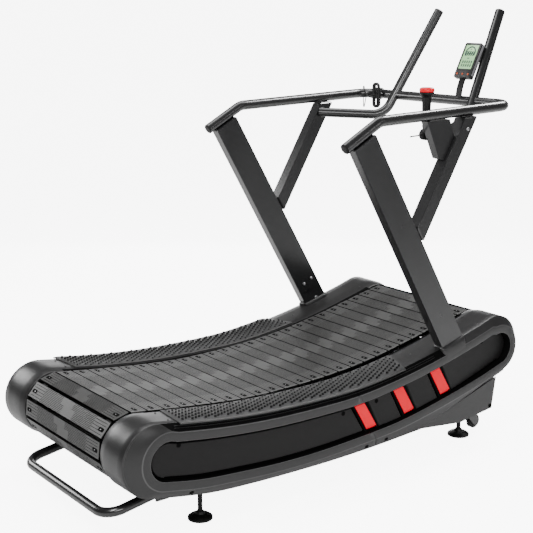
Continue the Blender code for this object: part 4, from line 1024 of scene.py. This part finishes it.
def rounded_slab(place, x0, x1, half_y, z0, z1, radius, edge):
    """Slab with rounded corners in its face plane and rounded rims, as points and faces."""
    rims = ((x0, -edge), (x0 + edge * 0.3, -edge * 0.3), (x0 + edge, 0.0),
            (x1 - edge, 0.0), (x1 - edge * 0.3, -edge * 0.3), (x1, -edge))
    rows = []
    for x, grow in rims:
        outline = rounded_rectangle(half_y + grow, (z1 - z0) / 2 + grow, radius + grow)
        rows.append([place @ Vector((x, y, (z0 + z1) / 2 + z)) for y, z in outline])
    return net(rows, ends=True)


CONSOLE = Matrix.Translation(CONSOLE_BASE) @ Matrix.Rotation(CONSOLE_LEAN, 4, "Y")


def slab_piece(name, slabs, mat, replaces=()):
    """Piece made of rounded slabs placed in the console's own axes."""
    pile = Pile()
    for sizes in slabs:
        pile.add(*rounded_slab(CONSOLE, *sizes))
    fix_normals(pile.piece(name, mat, replaces=replaces))


def make_console():
    """Display housing, its film and its three buttons."""
    front = (-0.0002, 0.0060, 0.0424, -0.0004, 0.1459, 0.006, 0.0012)
    foot = (0.0030, 0.0215, 0.0418, -0.0006, 0.0140, 0.004, 0.0012)
    slab_piece("console_case", [(0.0010, 0.0215, 0.0415, 0.0, 0.1455, 0.006, 0.0016)], SILVER,
               ("console_body",))
    slab_piece("console_face", [front, foot], CASE)
    slab_piece("console_back", [(0.0175, 0.0222, 0.0420, -0.0004, 0.1459, 0.006, 0.0012)], CASE)
    slab_piece("console_lcd", [(-0.0006, 0.0010, 0.0325, 0.0355, 0.1355, 0.0012, 0.0003)], LCD,
               ("console_screen",))
    make_lcd_marks()
    inward = CONSOLE.to_3x3() @ Vector((-1, 0, 0))
    for number, y in enumerate((0.028, 0.0, -0.028), start=1):
        button = Pile()
        button.lathe([(0.0022, 0.0022), (0.0036, 0.0018), (0.0040, 0.0008), (0.0040, -0.0022)],
                     CONSOLE @ Vector((0.0, y, 0.014)), inward, 24)
        button.piece(f"button_{number}", ORANGE, f"console_button_{number}", "orange_rubber",
                     (f"console_button_{number}",), 45)


def make_lcd_marks():
    """Generic marks on the display: a dial, digits and dashes."""
    marks = Pile()

    def stroke(points, half):
        """Raised line on the display through (y, z) points."""
        rows = []
        for i, point in enumerate(points):
            before, after = points[max(i - 1, 0)], points[min(i + 1, len(points) - 1)]
            run = Vector((after[0] - before[0], after[1] - before[1])).normalized()
            out = Vector((-run.y, run.x)) * half
            corners = ((-1, -0.00075), (-1, -0.0004), (1, -0.0004), (1, -0.00075))
            rows.append([CONSOLE @ Vector((depth, point[0] + out.x * sx, point[1] + out.y * sx))
                         for sx, depth in corners])
        marks.add(*net(rows, ends=True))

    def dash(y, z, reach, half):
        stroke([(y + reach, z), (y - reach, z)], half)

    dial = [math.radians(a) for a in range(-32, 213, 7)]
    stroke([(0.0235 * math.cos(a), 0.103 + 0.0250 * math.sin(a)) for a in dial], 0.0026)
    for cell in range(4):
        y = 0.0150 - cell * 0.0100
        for z in (0.0925, 0.1005, 0.1085):
            dash(y, z, 0.0028, 0.0016)
        for y_side in (0.0034, -0.0034):
            stroke([(y + y_side, 0.0932), (y + y_side, 0.1078)], 0.0016)
    dash(0.0, 0.1180, 0.004, 0.0014)
    for z in (0.0600, 0.0455):
        for cell in range(5):
            y = 0.0220 - cell * 0.0110
            for dz in (0.0, 0.0042, 0.0084):
                dash(y, z + dz, 0.0024, 0.0016)
            stroke([(y - 0.0026, z), (y - 0.0026, z + 0.0084)], 0.0016)
    dash(0.0, 0.0800, 0.006, 0.0016)
    fix_normals(marks.piece("lcd_marks", SEGMENT))


# --- Wheels and materials of the CAD nodes ---------------------------------------

def make_wheel_details():
    """Hub cap and short spokes on both faces of each transport wheel."""
    for side, tag in SIDES:
        hub, centre = Pile(), Vector((0.698, side * 0.330, 0.041))
        for face in (1, -1):
            axis = Vector((0, face, 0))
            hub.lathe([(0.0068, 0.0004), (0.0068, 0.0016), (0.0105, 0.0016), (0.0110, 0.0)],
                      centre + axis * 0.0108, axis, 24)
            for a in ring_angles(6):
                spoke = Vector((math.cos(a), 0, math.sin(a)))
                hub.lathe([(0.0018, 0.0), (0.0022, 0.003), (0.0022, 0.010), (0.0016, 0.0125)],
                          centre + axis * 0.0110 + spoke * 0.0105, spoke, 8)
        hub.piece(f"wheel_hub_{tag}", BOLT, f"wheel_{tag}", "black_rubber")


def dress_nodes():
    """Materials, softened edges and smooth shading of the CAD parts that stay in view."""
    looks = {"base_frame": PAINT, "drive_belt": RUBBER, "drum": BOLT, "bearing": STEEL, "guide_roller": STEEL,
             "flywheel_belt": RUBBER, "flywheel": IRON, "brake_magnet": ZINC, "front_skirt": PLASTIC,
             "upright": PAINT, "strut": PAINT, "lever_bracket": PAINT, "console_arm": DARK, "foot": DARK,
             "wheel": RUBBER}
    widths = {"upright": 0.0055, "strut": 0.0130, "lever_bracket": 0.0015, "skirt": 0.0008}
    for name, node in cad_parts.items():
        for key, mat in looks.items():
            if key in name:
                node.data.materials.clear()
                node.data.materials.append(mat)
                break
        for key, width in widths.items():
            if key in name:
                soft = node.modifiers.new("soft_edges", "BEVEL")
                soft.width = width
                soft.segments = 4
                soft.limit_method = "ANGLE"
                soft.angle_limit = math.radians(40)
                soft.harden_normals = True
        if not any(key in name for key in ("skirt", "bracket", "base_frame")):
            node.data.shade_smooth()
            node.data.set_sharp_from_angle(angle=math.radians(32))


# --- Floor and light -----------------------------------------------------------

AMBIENT, FLOOR_GLOW, BACKDROP = 0.20, 0.22, 7.5


def seen_strength(tree, socket, unseen, seen):
    """Give a glow one strength where the camera sees it directly and another where it lights the object."""
    ray = tree.nodes.new("ShaderNodeLightPath")
    glow = fill(tree.nodes.new("ShaderNodeMapRange"), {"To Min": unseen, "To Max": seen})
    tree.links.new(ray.outputs["Is Camera Ray"], glow.inputs["Value"])
    tree.links.new(glow.outputs["Result"], socket)


def make_stage():
    """Pale floor, even surroundings and soft studio lights."""
    mesh = bpy.data.meshes.new("floor")
    size, low = 30.0, -0.0006
    mesh.from_pydata([(-size, -size, low), (size, -size, low), (size, size, low), (-size, size, low)],
                     [], [(0, 1, 2, 3)])
    floor = bpy.data.objects.new("floor", mesh)
    bpy.context.scene.collection.objects.link(floor)
    pale = bpy.data.materials.new("pale_floor")
    pale.use_nodes = True
    shader = fill(pale.node_tree.nodes["Principled BSDF"], {
        "Base Color": (0.80, 0.80, 0.80, 1), "Roughness": 0.9, "Specular IOR Level": 0.0,
        "Emission Color": (1, 1, 1, 1)})
    seen_strength(pale.node_tree, shader.inputs["Emission Strength"], FLOOR_GLOW, BACKDROP)
    mesh.materials.append(pale)

    world = bpy.data.worlds.new("studio")
    world.use_nodes = True
    sky = fill(world.node_tree.nodes["Background"], {"Color": (1, 1, 1, 1)})
    seen_strength(world.node_tree, sky.inputs["Strength"], AMBIENT, BACKDROP + AMBIENT * 0.8)
    bpy.context.scene.world = world

    def soft_box(name, at, target, size, power):
        light = bpy.data.lights.new(name, "AREA")
        light.shape = "RECTANGLE"
        light.size, light.size_y = size
        light.energy = power
        lamp = bpy.data.objects.new(name, light)
        lamp.location = at
        lamp.rotation_euler = (Vector(target) - Vector(at)).to_track_quat("-Z", "Y").to_euler()
        lamp.visible_camera = False
        bpy.context.scene.collection.objects.link(lamp)

    soft_box("back_wall", (2.2, 3.2, 0.9), (0, 0, 0.4), (3.4, 1.0), 36)
    soft_box("left_back", (-1.7, 3.3, 1.9), (-0.6, 0, 0.4), (1.6, 1.2), 70)
    soft_box("overhead", (0.2, 0.8, 3.6), (0, 0, 0.4), (2.6, 1.6), 70)
    soft_box("rear_top", (-2.3, -1.4, 3.1), (-0.6, 0, 0.4), (0.5, 1.6), 90)
    soft_box("front_top", (2.4, 0.0, 3.2), (0.6, -0.2, 0.4), (0.5, 1.6), 125)
    soft_box("near_fill", (-1.4, -3.9, 2.4), (0, 0, 0.5), (2.4, 1.2), 95)
    soft_box("near_strip", (1.7, -3.3, 1.6), (0.4, -0.2, 1.1), (0.22, 2.6), 13)


make_camera()
make_lead()
make_slats()
for side_and_tag in SIDES:
    for make in (make_side_cover, make_side_panels, make_accent_bars, make_panel_screws, make_deck_cover,
                 make_gap_shade, make_grip, make_groove_trim):
        make(*side_and_tag)
make_rails()
make_lift_handle()
make_drum_tubes()
make_handle_lugs()
make_frame_details()
make_skirt_seals()
make_collars()
make_lever()
make_console()
make_wheel_details()
dress_nodes()
make_stage()
